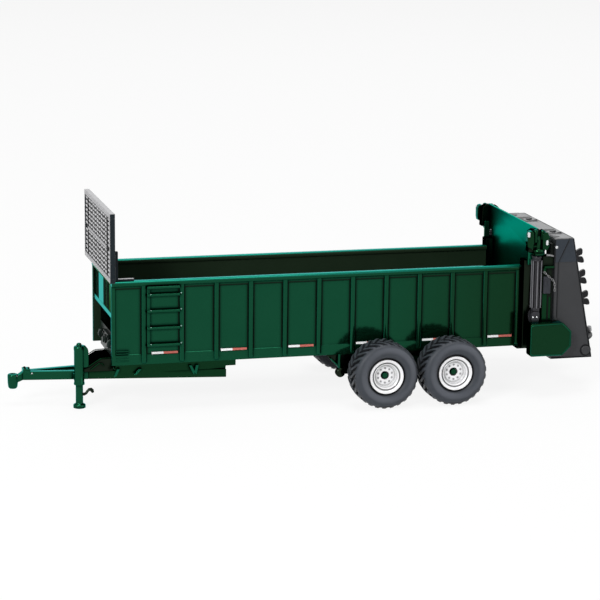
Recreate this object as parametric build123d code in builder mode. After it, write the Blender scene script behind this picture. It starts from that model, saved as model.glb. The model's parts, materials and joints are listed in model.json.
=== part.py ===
"""Die-cast scale model of a tandem-axle manure spreader with two leaning beaters.

Millimetres. +X points to the rear, +Z up, the side with the ladder is at -Y. The origin lies on
the floor, under the middle of the whole model.
"""
from build123d import *
from math import cos, pi, radians, sin, sqrt
import os

os.makedirs("parts", exist_ok=True)

# ------------------------------------------------------------------ driving sizes
# stations along X
box_front_x = -67.1
box_rear_x = 68.65
hitch_reach = 29.25                   # from the box's front to the centre of the tow eye
hitch_x = box_front_x - hitch_reach
tongue_front_x = hitch_x + 3.35       # where the two tongue beams meet
jack_reach = 8.8
jack_x = box_front_x - jack_reach
bogie_x = 31.1                        # half way between the axles
gate_x = box_rear_x + 3.15            # mid plane of the sliding gate
housing_front_x = gate_x + 6.0        # front edge of the beater housing's side plates
housing_top_len = 6.9                 # length of a side plate along its top and its foot
housing_foot_len = 14.4

# flats round the turned pieces
tube_facets = 16
bar_facets = 12
thin_facets = 8

# the load box
wall_in = 16.8                        # from the middle plane to the inside of a side sheet
wall_t = 1.0
box_low_z = 15.75                     # lower edge of the side sheets
rail_top_z = 42.8
rail_w = 2.6
rail_h = 1.6
rail_r = 0.45
rail_proud = 0.1                      # how far the rail stands out over the ribs
rib_w = 1.6
rib_d = 0.9
rib_rise = 0.35                       # from the sheet's lower edge to a rib's foot
rib_first = 10.3                      # from the box's front to the first rib, and to the second
rib_second = 22.55
rib_last = 0.8                        # from the last rib's middle to the box's rear
rib_count = 11                        # from the second rib to the last, at one pitch
skirt_h = 3.2
skirt_d = 0.35
corner_w = 1.3
floor_t = 1.1
floor_top_z = 17.0
lip_z = 30.5                          # fold between the front wall's upper and lower panels
lip_depth = 2.0
front_sheet_t = 0.8
front_setback = 0.5                   # from the sides' front edge to the upper panel

# the apron that lies on the floor: slats across two strands of chain
slat_pitch = 9.0
slat_w = 1.4
slat_h = 0.9
slat_count = 15
strand_y = 8.0
strand_w = 1.6
strand_h = 0.5
apron_gap = 0.9                       # from a slat's end to the side sheet

# screen above the front wall
screen_half = 23.85
screen_low_z = rail_top_z + 0.6
screen_top_z = 65.4
screen_t = 1.4
screen_edge = 1.5
screen_stile_y = 17.6
screen_stile_w = 1.2
screen_rail_z = 53.8
mesh_pitch_y = 4.9
mesh_pitch_z = 3.2
mesh_bar = 0.6
bracket_y = 16.4                      # inner face of a bracket
bracket_w = 1.4
bracket_t = 0.7
bracket_depth = 2.2                   # of the upright leg
bracket_leg = 9.5
bracket_foot = 7.3

# ladder on the left side
rung_zs = (40.6, 38.2, 33.0, 27.5, 22.0)
rung_t = 0.8
rung_reach = 1.3
ladder_stile_w = 1.1

# chassis under the box
chassis_top_z = floor_top_z - floor_t
chassis_low_z = 13.9
chassis_y = 10.5                      # outer face of a chassis rail
chassis_w = 1.5
chassis_step_z = 12.0
chassis_step_len = 3.3
cross_w = 2.4
cross_deep_count = 3                  # members over the tongue, and behind it
cross_shallow_count = 5
cross_gap = 0.7                       # from the front wall's foot to the first member

# tongue
tongue_low_z = 8.4
tongue_top_z = 11.15
tongue_rear_x = -28.5
tongue_front_half = 1.6
tongue_splay = 0.15                   # how far each beam moves outwards for each mm to the rear
tongue_w = 1.75
tongue_pad_len = 2.4                  # raised plate on the nose of the tongue
tongue_pad_h = 0.8

# tow eye
eye_low_z = 5.6
eye_top_z = 10.3
eye_r = 1.45
eye_bore_r = 0.8
eye_web_w = 2.2
eye_web_low_z = 7.4
eye_web_top_z = 9.4

# cover of the apron's front end, and what drives it
hood_half = 6.2
hood_run = (10.9, 8.4, 5.6)           # from the lower wall forward to the foot, knee and brow
hood_knee_z = 14.9
hood_brow_z = 17.7
gearbox_z = 20.6
gearbox_w = 9.0
gearbox_h = 5.4
gearbox_d = 2.2
gearbox_round = 0.8
gearbox_boss_r = 1.7
gearbox_boss_len = 1.2
idler_r = 0.7
idler_half = 15.0                     # half length of the cross shaft
idler_teeth = 8
idler_wheel_r = 2.2
idler_wheel_w = 1.2

# jack
jack_y = 8.0
jack_tube_r = 1.6
jack_leg_r = 1.25
jack_tube_low_z = 7.6
jack_tube_top_z = 18.7
jack_cap_h = 0.5
jack_knob_r = 0.85
jack_knob_h = 0.9
jack_collar_r = 1.95
jack_collar_h = 0.9
jack_case_low_z = 15.2
jack_case_d = 1.3                     # gear case behind the tube
jack_case_w = 2.0
jack_foot_r = 1.9
jack_foot_rim = 0.6
jack_foot_h = 2.0
jack_foot_step = 0.1
jack_leg_short = 2.0                  # from the leg's top to the tube's top
jack_plate_w = 3.0
jack_plate_h = 2.0
jack_pin_z = 5.3
jack_pin_r = 0.28
jack_pin_gap = 0.04
running_gap = 0.05                    # between a shaft and its bore

# wheels and their bogies
wheel_r = 10.85
wheel_mid_y = 26.6
tyre_w = 11.0
axle_pitch = 23.1
tyre_facets = 28                      # one lug on each facet, left and right by turns
tyre_bulge_r = 8.4                    # the side wall stands out furthest from here
tyre_waist_r = 7.0                    # to here, and then falls back to the bead
tyre_bead_depth = 0.7
tread_half = 4.45
tread_drop = 0.75                     # height of a lug over the tread
lug_half = 0.52                       # half of a lug's width round the tyre
lug_slant = 0.42                      # a lug's ends lie this far to either side of its middle
lug_start = 0.2                       # from the mid plane to a lug's inner and outer end
lug_end = 4.25
lug_root = 0.6
rim_facets = 20
rim_flange_r = 5.6
rim_flange_w = 0.9
rim_seat_r = 5.15
rim_half = 5.05
rim_step_r = 4.4                      # the dish: its first step, its ledge and its disc
rim_step_depth = 0.5
rim_ledge_depth = 1.5
rim_disc_r = 3.5
rim_disc_depth = 4.0
rim_fit = 0.04                        # between the tyre and its rim
hub_hole_r = 1.5
hub_hole_depth = 1.2
stub_r = 0.95
stub_depth = 2.4                      # from the rim's outer face to the end of the stub
hub_in_y = 22.2                       # inner face of the hub
beam_in_y = 17.7
beam_out_y = 20.2
beam_end_r = 2.2
beam_boss_r = 1.9
beam_rise = 1.2                       # how much higher the beam is at its middle
hanger_in_y = 16.2
hanger_low_z = 9.0
hanger_low_half = 21.6                # half length of a hanger along its foot and its top
hanger_top_half = 28.2
cross_tube_r = 1.6

# rear posts, gate and its cylinders
post_out_y = 21.3
post_rear_x = gate_x + 2.2
post_low_z = 12.0
gate_t = 0.8
gate_half = 19.8                      # half width of the part that slides between the posts
gate_gap = 0.3
gate_low_z = 16.2
gate_top_z = 55.9
gate_wide_z = 47.6
gate_wide_half = 24.0
post_lip_y = 17.5
post_drop = 2.6                       # from the gate's wide part down to the posts' tops
column_drop = 1.0
column_y = 24.0
column_in_y = 19.8
sill_h = 3.0
sill_gap = 1.0                        # from the sill to the posts' lips, each side
head_in_y = 22.0
head_out_y = 26.6
head_len_front = 4.1                  # from the gate's mid plane to a head's front and rear
head_len_rear = 3.4
head_drop = 0.4
head_round = 0.8
head_fit = 0.02                       # between a head and the gate plate
groove_w = 3.8
groove_d = 2.0
groove_rise = 2.0
cylinder_x = gate_x + 0.4
cylinder_y = 23.25
cylinder_r = 1.7
cylinder_low_z = 28.4
cylinder_foot_z = 25.2
cylinder_foot_w = 3.4
cylinder_foot_d = 3.6
rod_r = 0.9
rod_low_z = 30.0
rod_bottom_gap = 0.3

# beater housing
housing_y = 24.0
housing_t = 1.0
housing_low_z = 12.0
housing_top_z = 52.2
flange_w = 1.4                        # raised flange along a side plate's front edge
flange_d = 0.4
gusset_low_z = 44.5
gusset_top_len = 5.0
boss_r = 1.5
boss_setback = 2.3                    # from a side plate's rear foot to the boss
boss_rise = 2.5
top_beam_t = 0.9
top_beam_h = 2.8
top_beam_setback = 0.4
pan_t = 1.2
bearing_w = 4.4                       # square bearing plates on the pan and the top beam
bearing_t = 0.8
cover_ahead = 2.7                     # from the gate to the cover's front and rear
cover_behind = 11.6
cover_low_z = 14.0
cover_top_z = 25.0
cover_depth = 4.0
cover_cut = 3.0
cover_round = 0.9

# beaters
beater_y = 11.6
beater_setback = 3.6                  # from a side plate's rear foot to a beater's foot
beater_lean = 9.9                     # degrees, top forward
beater_r = 9.2
shaft_r = 1.1
shaft_in_pan = 1.0                    # how far the shaft goes into the pan, and past the beam
shaft_past_beam = 0.4
core_r = 1.9
core_low = 1.3                        # from the pan to the core, and from the core to the beam
core_short = 3.9
blade_t = 0.8
blade_root_h = 1.2                    # half height of a blade at the core
blade_neck_r = 5.0
blade_notch_r = 7.9                   # bottom of the fork
blade_tip_h = 2.2                     # half height over the fork's tips
blade_rake = 0.7                      # cut off the tips' corners
level_first = 6.8
level_pitch = 3.65
level_count = 8
disc_r = 8.5
disc_facets = 24
disc_t = 0.8
disc_at = 2.4
throw_blade_h = 1.8
throw_blade_r = 9.0


# ------------------------------------------------------------------ load box
box_length = box_rear_x - box_front_x
wall_out = wall_in + wall_t
rail_low_z = rail_top_z - rail_h
rib_low_z = box_low_z + rib_rise
rib_first_x = box_front_x + rib_first
rib_second_x = box_front_x + rib_second
rib_pitch = (box_rear_x - rib_last - rib_second_x) / (rib_count - 1)
rib_xs = [rib_first_x] + [rib_second_x + rib_pitch * n for n in range(rib_count)]
rail_mid_y = wall_out + rib_d + rail_proud - rail_w / 2

with BuildPart() as side_left:
    with BuildSketch(Plane.XZ.offset(wall_in)):
        with Locations((box_front_x, box_low_z)):
            Rectangle(box_length, rail_low_z - box_low_z, align=(Align.MIN, Align.MIN))
    extrude(amount=wall_t)
    with BuildSketch(Plane.XZ.offset(wall_out)):
        with Locations((box_front_x, box_low_z)):
            Rectangle(box_length, skirt_h, align=(Align.MIN, Align.MIN))
    extrude(amount=skirt_d)
    with BuildSketch(Plane.XZ.offset(wall_out)):
        with Locations(*[(x, rib_low_z) for x in rib_xs]):
            Rectangle(rib_w, rail_low_z - rib_low_z, align=(Align.CENTER, Align.MIN))
        with Locations((box_front_x, box_low_z)):
            Rectangle(corner_w, rail_low_z - box_low_z, align=(Align.MIN, Align.MIN))
    extrude(amount=rib_d)
    with BuildSketch(Plane.YZ.offset(box_front_x)) as side_rail:
        with Locations((-rail_mid_y, rail_top_z - rail_h / 2)):
            Rectangle(rail_w, rail_h)
        chamfer(side_rail.vertices(), length=rail_r)
    extrude(amount=box_length)

with BuildPart() as side_right:
    mirror(side_left.part, about=Plane.XZ)

rail_in = rail_mid_y - rail_w / 2
upper_x = box_front_x + front_setback
lower_x = upper_x + lip_depth
with BuildPart() as front_wall:
    with BuildSketch(Plane.XZ.offset(-wall_in)):
        with BuildLine():
            Polyline(
                (upper_x, rail_low_z),
                (upper_x, lip_z),
                (lower_x, lip_z),
                (lower_x, chassis_top_z),
                (lower_x + front_sheet_t, chassis_top_z),
                (lower_x + front_sheet_t, lip_z + front_sheet_t),
                (upper_x + front_sheet_t, lip_z + front_sheet_t),
                (upper_x + front_sheet_t, rail_low_z),
                close=True,
            )
        make_face()
    extrude(amount=2 * wall_in)
    with BuildSketch(Plane.XZ.offset(-rail_in)):
        with Locations((box_front_x, rail_low_z)):
            Rectangle(rail_w, rail_h, align=(Align.MIN, Align.MIN))
    extrude(amount=2 * rail_in)

floor_front_x = lower_x + front_sheet_t
floor_rear_x = gate_x - gate_t / 2 - gate_gap
with BuildPart() as floor_sheet:
    with BuildSketch(Plane.XY.offset(chassis_top_z)):
        with Locations((floor_front_x, 0)):
            Rectangle(floor_rear_x - floor_front_x, 2 * wall_in, align=(Align.MIN, Align.CENTER))
    extrude(amount=floor_t)

slat_first_x = (floor_front_x + floor_rear_x - (slat_count - 1) * slat_pitch) / 2
slat_half = wall_in - apron_gap
with BuildPart() as apron:
    with BuildSketch(Plane.XY.offset(floor_top_z)):
        with Locations(*[(slat_first_x + slat_pitch * n, 0) for n in range(slat_count)]):
            Rectangle(slat_w, 2 * slat_half)
    extrude(amount=slat_h)
    with BuildSketch(Plane.XY.offset(floor_top_z)):
        with Locations((slat_first_x, -strand_y), (slat_first_x, strand_y)):
            Rectangle(slat_pitch * (slat_count - 1), strand_w, align=(Align.MIN, Align.CENTER))
    extrude(amount=strand_h)

# ------------------------------------------------------------------ screen over the front wall
screen_in = screen_half - screen_edge
stile_in = screen_stile_y - screen_stile_w / 2
strip_mid = (screen_in + screen_stile_y + screen_stile_w / 2) / 2
strip_w = screen_in - screen_stile_y - screen_stile_w / 2
columns = int((2 * stile_in + mesh_bar) // mesh_pitch_y)
with BuildPart() as screen:
    with BuildSketch(Plane.YZ.offset(box_front_x)):
        with Locations((0, screen_low_z)):
            Rectangle(2 * screen_half, screen_top_z - screen_low_z, align=(Align.CENTER, Align.MIN))
        for low, high in (
            (screen_low_z + screen_edge, screen_rail_z - screen_edge / 2),
            (screen_rail_z + screen_edge / 2, screen_top_z - screen_edge),
        ):
            rows = int((high - low + mesh_bar) // mesh_pitch_z)
            with Locations((0, (low + high) / 2)):
                with GridLocations(mesh_pitch_y, mesh_pitch_z, columns, rows):
                    Rectangle(mesh_pitch_y - mesh_bar, mesh_pitch_z - mesh_bar, mode=Mode.SUBTRACT)
                with GridLocations(2 * strip_mid, mesh_pitch_z, 2, rows):
                    Rectangle(strip_w, mesh_pitch_z - mesh_bar, mode=Mode.SUBTRACT)
    extrude(amount=-screen_t)

with BuildPart() as screen_brackets:
    with BuildSketch(Plane.XZ.offset(bracket_y)):
        with Locations((box_front_x, rail_top_z)):
            Rectangle(bracket_foot, bracket_t, align=(Align.MIN, Align.MIN))
            Rectangle(bracket_depth, bracket_leg, align=(Align.MIN, Align.MIN))
    extrude(amount=bracket_w)
    mirror(about=Plane.XZ)

# ------------------------------------------------------------------ ladder
ladder_front_x = rib_first_x + rib_w / 2
ladder_rear_x = rib_second_x - rib_w / 2
with BuildPart() as ladder:
    for z in rung_zs:
        with BuildSketch(Plane.XZ.offset(wall_out + skirt_d)):
            with Locations((ladder_front_x, z)):
                Rectangle(ladder_rear_x - ladder_front_x, rung_t, align=(Align.MIN, Align.CENTER))
        extrude(amount=rung_reach)
    with BuildSketch(Plane.XZ.offset(wall_out + skirt_d)):
        with Locations((ladder_front_x, min(rung_zs))):
            Rectangle(ladder_stile_w, max(rung_zs) - min(rung_zs), align=(Align.MIN, Align.MIN))
    extrude(amount=rung_reach / 2)

# ------------------------------------------------------------------ chassis
step_rear_x = tongue_rear_x + chassis_step_len
with BuildPart() as chassis_rail_left:
    with BuildSketch(Plane.XZ.offset(chassis_y - chassis_w)):
        with BuildLine():
            Polyline(
                (lower_x, chassis_top_z),
                (lower_x, tongue_top_z),
                (tongue_rear_x, tongue_top_z),
                (tongue_rear_x, chassis_step_z),
                (step_rear_x, chassis_step_z),
                (step_rear_x, chassis_low_z),
                (box_rear_x, chassis_low_z),
                (box_rear_x, chassis_top_z),
                close=True,
            )
        make_face()
    extrude(amount=chassis_w)

with BuildPart() as chassis_rail_right:
    mirror(chassis_rail_left.part, about=Plane.XZ)

deep_first_x = lower_x + cross_w / 2 + cross_gap
deep_last_x = tongue_rear_x - cross_w / 2
shallow_first_x = step_rear_x + cross_w
shallow_last_x = box_rear_x - cross_w
cross_half = chassis_y - chassis_w
cross_rows = (                        # first and last station, number of members, lower edge
    (deep_first_x, deep_last_x, cross_deep_count, tongue_top_z),
    (shallow_first_x, shallow_last_x, cross_shallow_count, chassis_low_z),
)
with BuildPart() as cross_members:
    for first_x, last_x, count, low_z in cross_rows:
        with BuildSketch(Plane.XY.offset(low_z)):
            with Locations(((first_x + last_x) / 2, 0)):
                with GridLocations((last_x - first_x) / (count - 1), 1, count, 1):
                    Rectangle(cross_w, 2 * cross_half)
        extrude(amount=chassis_top_z - low_z)


def tongue_edge(x):
    """Outer face of a tongue beam at a station."""
    return tongue_front_half + tongue_splay * (x - tongue_front_x)


inner_start_x = tongue_front_x + (tongue_w - tongue_front_half) / tongue_splay
with BuildPart() as tongue_beam_left:
    with BuildSketch(Plane.XY.offset(tongue_low_z)):
        with BuildLine():
            Polyline(
                (tongue_front_x, 0),
                (tongue_front_x, -tongue_front_half),
                (tongue_rear_x, -tongue_edge(tongue_rear_x)),
                (tongue_rear_x, tongue_w - tongue_edge(tongue_rear_x)),
                (inner_start_x, 0),
                close=True,
            )
        make_face()
    extrude(amount=tongue_top_z - tongue_low_z)
    with BuildSketch(Plane.XY.offset(tongue_top_z)):
        with Locations((tongue_front_x, 0)):
            Rectangle(tongue_pad_len, tongue_front_half, align=(Align.MIN, Align.MAX))
    extrude(amount=tongue_pad_h)

with BuildPart() as tongue_beam_right:
    mirror(tongue_beam_left.part, about=Plane.XZ)

with BuildPart() as tow_eye:
    with BuildSketch(Plane.XY.offset(eye_low_z)):
        with Locations((hitch_x, 0)):
            Circle(eye_r)
    extrude(amount=eye_top_z - eye_low_z)
    with BuildSketch(Plane.XZ.offset(-eye_web_w / 2)):
        with BuildLine():
            Polyline(
                (hitch_x, eye_web_low_z),
                (tongue_front_x, tongue_low_z),
                (tongue_front_x, tongue_top_z),
                (hitch_x, eye_web_top_z),
                close=True,
            )
        make_face()
    extrude(amount=eye_web_w)
    with BuildSketch(Plane.XY.offset(eye_low_z)):
        with Locations((hitch_x, 0)):
            Circle(eye_bore_r)
    extrude(amount=eye_top_z - eye_low_z, mode=Mode.SUBTRACT)

hood_foot, hood_knee, hood_brow = hood_run
with BuildPart() as front_hood:
    with BuildSketch(Plane.XZ.offset(-hood_half)):
        with BuildLine():
            Polyline(
                (lower_x - hood_foot, tongue_top_z),
                (lower_x - hood_knee, hood_knee_z),
                (lower_x - hood_brow, hood_brow_z),
                (lower_x, hood_brow_z),
                (lower_x, tongue_top_z),
                close=True,
            )
        make_face()
    extrude(amount=2 * hood_half)

idler_x = lower_x - gearbox_d / 2
with BuildPart() as gearbox:
    with BuildSketch(Plane.YZ.offset(lower_x)) as gearbox_outline:
        with Locations((0, gearbox_z)):
            Rectangle(gearbox_w, gearbox_h)
        chamfer(gearbox_outline.vertices(), length=gearbox_round)
    extrude(amount=-gearbox_d)
    with BuildSketch(Plane.YZ.offset(lower_x - gearbox_d)):
        with Locations((0, gearbox_z)):
            RegularPolygon(gearbox_boss_r, bar_facets)
    extrude(amount=-gearbox_boss_len)
    with BuildSketch(Plane.XZ.offset(-idler_half)):
        with Locations((idler_x, gearbox_z)):
            RegularPolygon(idler_r, thin_facets)
    extrude(amount=2 * idler_half)
    for middle in (-strand_y, strand_y):
        with BuildSketch(Plane.XZ.offset(-middle - idler_wheel_w / 2)):
            with Locations((idler_x - idler_wheel_r + gearbox_d / 2, gearbox_z)):
                RegularPolygon(idler_wheel_r, idler_teeth)
        extrude(amount=idler_wheel_w)

# ------------------------------------------------------------------ jack
leg_turn = 180 / thin_facets            # sets a flat of the leg square to its pin
with BuildPart() as jack_tube:
    with BuildSketch(Plane.XY.offset(jack_tube_low_z)):
        with Locations((jack_x, -jack_y)):
            RegularPolygon(jack_tube_r, tube_facets)
    extrude(amount=jack_tube_top_z + jack_cap_h - jack_tube_low_z)
    with BuildSketch(Plane.XY.offset(jack_tube_low_z)):
        with Locations((jack_x, -jack_y)):
            RegularPolygon(jack_collar_r, bar_facets)
    extrude(amount=jack_collar_h)
    with BuildSketch(Plane.XY.offset(jack_tube_top_z + jack_cap_h)):
        with Locations((jack_x, -jack_y)):
            RegularPolygon(jack_knob_r, bar_facets)
    extrude(amount=jack_knob_h)
    with BuildSketch(Plane.XY.offset(jack_case_low_z)):
        with Locations((jack_x, -jack_y)):
            Rectangle(jack_tube_r + jack_case_d, jack_case_w, align=(Align.MIN, Align.CENTER))
    extrude(amount=jack_tube_top_z - jack_case_low_z)
    plate_front_x = jack_x - jack_plate_w / 2
    plate_rear_x = jack_x + jack_plate_w / 2
    with BuildSketch(Plane.XY.offset((tongue_low_z + tongue_top_z - jack_plate_h) / 2)):
        with BuildLine():
            Polyline(
                (plate_front_x, -tongue_edge(plate_front_x)),
                (plate_rear_x, -tongue_edge(plate_rear_x)),
                (plate_rear_x, -jack_y),
                (plate_front_x, -jack_y),
                close=True,
            )
        make_face()
    extrude(amount=jack_plate_h)
    with BuildSketch(Plane.XY.offset(jack_tube_low_z)):
        with Locations((jack_x, -jack_y)):
            RegularPolygon(jack_leg_r + running_gap, thin_facets, rotation=leg_turn)
    extrude(amount=jack_tube_top_z - jack_tube_low_z, mode=Mode.SUBTRACT)

jack_leg_top_z = jack_tube_top_z - jack_leg_short
with BuildPart() as jack_leg:
    with BuildSketch():
        with Locations((jack_x, -jack_y)):
            RegularPolygon(jack_foot_r, bar_facets)
    extrude(amount=jack_foot_h)
    foot_top = jack_leg.faces().sort_by(Axis.Z)[-1]
    chamfer(foot_top.outer_wire().edges(), length=jack_foot_r - jack_leg_r - jack_foot_step,
            length2=jack_foot_h - jack_foot_rim, reference=foot_top)
    with BuildSketch(Plane.XY.offset(jack_foot_h)):
        with Locations((jack_x, -jack_y)):
            RegularPolygon(jack_leg_r, thin_facets, rotation=leg_turn)
    extrude(amount=jack_leg_top_z - jack_foot_h)
    with BuildSketch(Plane.YZ.offset(jack_x - 2 * jack_leg_r)):
        with Locations((-jack_y, jack_pin_z)):
            RegularPolygon(jack_pin_r + jack_pin_gap, thin_facets)
    extrude(amount=4 * jack_leg_r, mode=Mode.SUBTRACT)

pin_points = (                        # from the leg's face backwards, outwards and upwards
    (-2 * jack_leg_r - 0.4, 0, 0),
    (1.2, 0, 0),
    (1.6, 0.9, 0.4),
    (3.2, 0.9, 0.6),
)
with BuildPart() as jack_pin:
    with BuildLine() as pin_line:
        Polyline(*[(jack_x + jack_leg_r + x, -jack_y - y, jack_pin_z + z) for x, y, z in pin_points])
    with BuildSketch(Plane(pin_line.line @ 0, z_dir=pin_line.line % 0)):
        RegularPolygon(jack_pin_r, thin_facets)
    sweep(transition=Transition.RIGHT)

# ------------------------------------------------------------------ wheels
lug_top = sqrt(wheel_r**2 - (lug_half + lug_slant) ** 2)
tread_r = wheel_r - tread_drop
half_w = tyre_w / 2
bead_y = rim_half - rim_flange_w - rim_fit
flat_share = cos(pi / tyre_facets)    # from a corner's radius to the middle of a flat
shoulder_rise = (tread_r - tyre_bulge_r) * flat_share
with BuildPart() as tyre_shape:       # outer face towards -Y
    with BuildSketch(Plane.XZ.offset(-half_w)):
        RegularPolygon(tread_r, tyre_facets)
        RegularPolygon(rim_seat_r + rim_fit, tyre_facets, mode=Mode.SUBTRACT)
    extrude(amount=2 * half_w)
    with BuildSketch(Plane.XZ.offset(bead_y)):
        RegularPolygon(rim_flange_r + rim_fit, tyre_facets)
    extrude(amount=half_w, mode=Mode.SUBTRACT)
    for end, bead_r in ((0, rim_flange_r + rim_fit), (-1, rim_seat_r + rim_fit)):
        side_wall = tyre_shape.faces().sort_by(Axis.Y)[end]
        chamfer(side_wall.outer_wire().edges(), length=shoulder_rise,
                length2=half_w - tread_half, reference=side_wall)
        side_wall = tyre_shape.faces().sort_by(Axis.Y)[end]
        chamfer(side_wall.inner_wires()[0].edges(), length=(tyre_waist_r - bead_r) * flat_share,
                length2=tyre_bead_depth, reference=side_wall)
    for n in range(tyre_facets):
        side = 1 if n % 2 else -1
        turn = radians(360 / tyre_facets * (n + 0.5))
        out = Vector(sin(turn), 0, cos(turn))
        along = Vector(cos(turn), 0, -sin(turn))
        with BuildSketch(Plane(out * (tread_r - lug_root), x_dir=along, z_dir=out)):
            with BuildLine():
                Polyline(
                    (-lug_half - lug_slant, side * lug_start),
                    (lug_half - lug_slant, side * lug_start),
                    (lug_half + lug_slant, side * lug_end),
                    (-lug_half + lug_slant, side * lug_end),
                    close=True,
                )
            make_face()
        extrude(amount=lug_top - tread_r + lug_root)

hub_floor_y = rim_half - rim_disc_depth - hub_hole_depth
dish = (                              # (radius, number of flats, depth) of each pocket
    (rim_step_r, rim_facets, rim_ledge_depth),
    (rim_disc_r, rim_facets, rim_disc_depth),
    (hub_hole_r, bar_facets, rim_disc_depth + hub_hole_depth),
)
with BuildPart() as rim_shape:        # outer face towards -Y
    with BuildSketch(Plane.XZ.offset(-bead_y)):
        RegularPolygon(rim_seat_r, rim_facets)
    extrude(amount=2 * bead_y + rim_fit)
    with BuildSketch(Plane.XZ.offset(bead_y + rim_fit)):
        RegularPolygon(rim_flange_r, rim_facets)
    extrude(amount=rim_flange_w)
    for pocket_r, facets, depth in dish:
        with BuildSketch(Plane.XZ.offset(rim_half)):
            RegularPolygon(pocket_r, facets)
        extrude(amount=-depth, mode=Mode.SUBTRACT)
    rim_face = rim_shape.faces().sort_by(Axis.Y)[0]
    chamfer(rim_face.inner_wires()[0].edges(),
            length=(rim_seat_r - rim_step_r) * cos(pi / rim_facets),
            length2=rim_step_depth, reference=rim_face)
    with BuildSketch(Plane.XZ.offset(hub_in_y - wheel_mid_y)):
        Circle(stub_r + running_gap)
    extrude(amount=wheel_mid_y, mode=Mode.SUBTRACT)

wheels = {}
for row, x in (("front", bogie_x - axle_pitch / 2), ("rear", bogie_x + axle_pitch / 2)):
    for kind, shape in (("tyre", tyre_shape), ("rim", rim_shape)):
        with BuildPart() as left_piece:
            add(shape.part.moved(Location((x, -wheel_mid_y, wheel_r))))
        with BuildPart() as right_piece:
            mirror(left_piece.part, about=Plane.XZ)
        wheels[f"{kind}_{row}_left"] = left_piece
        wheels[f"{kind}_{row}_right"] = right_piece

# ------------------------------------------------------------------ bogies
with BuildPart() as walking_beam_left:
    with BuildSketch(Plane.XZ.offset(beam_in_y)):
        with BuildLine():
            Polyline(
                (bogie_x - axle_pitch / 2, wheel_r - beam_end_r),
                (bogie_x + axle_pitch / 2, wheel_r - beam_end_r),
                (bogie_x + axle_pitch / 2, wheel_r + beam_end_r),
                (bogie_x, wheel_r + beam_end_r + beam_rise),
                (bogie_x - axle_pitch / 2, wheel_r + beam_end_r),
                close=True,
            )
        make_face()
        with Locations((bogie_x, wheel_r)):
            with GridLocations(axle_pitch, 1, 2, 1):
                RegularPolygon(beam_end_r, tube_facets)
    extrude(amount=beam_out_y - beam_in_y)
    with BuildSketch(Plane.XZ.offset(beam_out_y)):
        with Locations((bogie_x, wheel_r)):
            with GridLocations(axle_pitch, 1, 2, 1):
                RegularPolygon(beam_boss_r, bar_facets)
    extrude(amount=hub_in_y - running_gap - beam_out_y)
    with BuildSketch(Plane.XZ.offset(hub_in_y - running_gap)):
        with Locations((bogie_x, wheel_r)):
            with GridLocations(axle_pitch, 1, 2, 1):
                RegularPolygon(stub_r, bar_facets)
    extrude(amount=wheel_mid_y + rim_half - stub_depth - hub_in_y + running_gap)

with BuildPart() as walking_beam_right:
    mirror(walking_beam_left.part, about=Plane.XZ)

with BuildPart() as hanger_left:
    with BuildSketch(Plane.XZ.offset(hanger_in_y)):
        with BuildLine():
            Polyline(
                (bogie_x - hanger_top_half, box_low_z),
                (bogie_x - hanger_low_half, hanger_low_z),
                (bogie_x + hanger_low_half, hanger_low_z),
                (bogie_x + hanger_top_half, box_low_z),
                close=True,
            )
        make_face()
    extrude(amount=beam_in_y - hanger_in_y)

with BuildPart() as hanger_right:
    mirror(hanger_left.part, about=Plane.XZ)

with BuildPart() as bogie_cross_tube:
    with BuildSketch(Plane.XZ.offset(-hanger_in_y)):
        with Locations((bogie_x, wheel_r)):
            RegularPolygon(cross_tube_r, bar_facets)
    extrude(amount=2 * hanger_in_y)

# ------------------------------------------------------------------ rear posts
head_low_z = gate_wide_z - head_drop
post_top_z = gate_wide_z - post_drop
column_top_z = gate_wide_z - column_drop
slot_front = gate_x - gate_t / 2 - gate_gap
slot_rear = gate_x + gate_t / 2 + gate_gap
slot_y = gate_half + gate_gap
with BuildPart() as rear_post_left:
    with BuildSketch(Plane.XY.offset(post_low_z)):
        with BuildLine():
            Polyline(
                (box_rear_x, -wall_in),
                (slot_front, -wall_in),
                (slot_front, -slot_y),
                (slot_rear, -slot_y),
                (slot_rear, -post_lip_y),
                (post_rear_x, -post_lip_y),
                (post_rear_x, -post_out_y),
                (box_rear_x, -post_out_y),
                close=True,
            )
        make_face()
    extrude(amount=post_top_z - post_low_z)
    with BuildSketch(Plane.XY.offset(post_low_z)):
        with Locations((post_rear_x, -column_in_y)):
            Rectangle(housing_front_x - post_rear_x, column_y - column_in_y,
                      align=(Align.MIN, Align.MAX))
    extrude(amount=column_top_z - post_low_z)

with BuildPart() as rear_post_right:
    mirror(rear_post_left.part, about=Plane.XZ)

with BuildPart() as rear_sill:
    with BuildSketch(Plane.XY.offset(post_low_z)):
        with Locations((post_rear_x, 0)):
            Rectangle(housing_front_x - post_rear_x, 2 * column_in_y, align=(Align.MIN, Align.CENTER))
        with Locations((box_rear_x, 0)):
            Rectangle(post_rear_x - box_rear_x, 2 * (post_lip_y - sill_gap),
                      align=(Align.MIN, Align.CENTER))
    extrude(amount=sill_h)

# ------------------------------------------------------------------ gate and cylinders
with BuildPart() as cylinder_left:
    with BuildSketch(Plane.XY.offset(cylinder_low_z)):
        with Locations((cylinder_x, -cylinder_y)):
            RegularPolygon(cylinder_r, tube_facets)
    extrude(amount=head_low_z - rod_bottom_gap - cylinder_low_z)
    with BuildSketch(Plane.XY.offset(rod_low_z - rod_bottom_gap)):
        with Locations((cylinder_x, -cylinder_y)):
            Circle(rod_r + running_gap)
    extrude(amount=head_low_z - rod_low_z, mode=Mode.SUBTRACT)
    with BuildSketch(Plane.XY.offset(cylinder_foot_z)):
        with Locations((cylinder_x, -post_out_y)):
            Rectangle(cylinder_foot_w, cylinder_foot_d, align=(Align.CENTER, Align.MAX))
    extrude(amount=cylinder_low_z - cylinder_foot_z)

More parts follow.
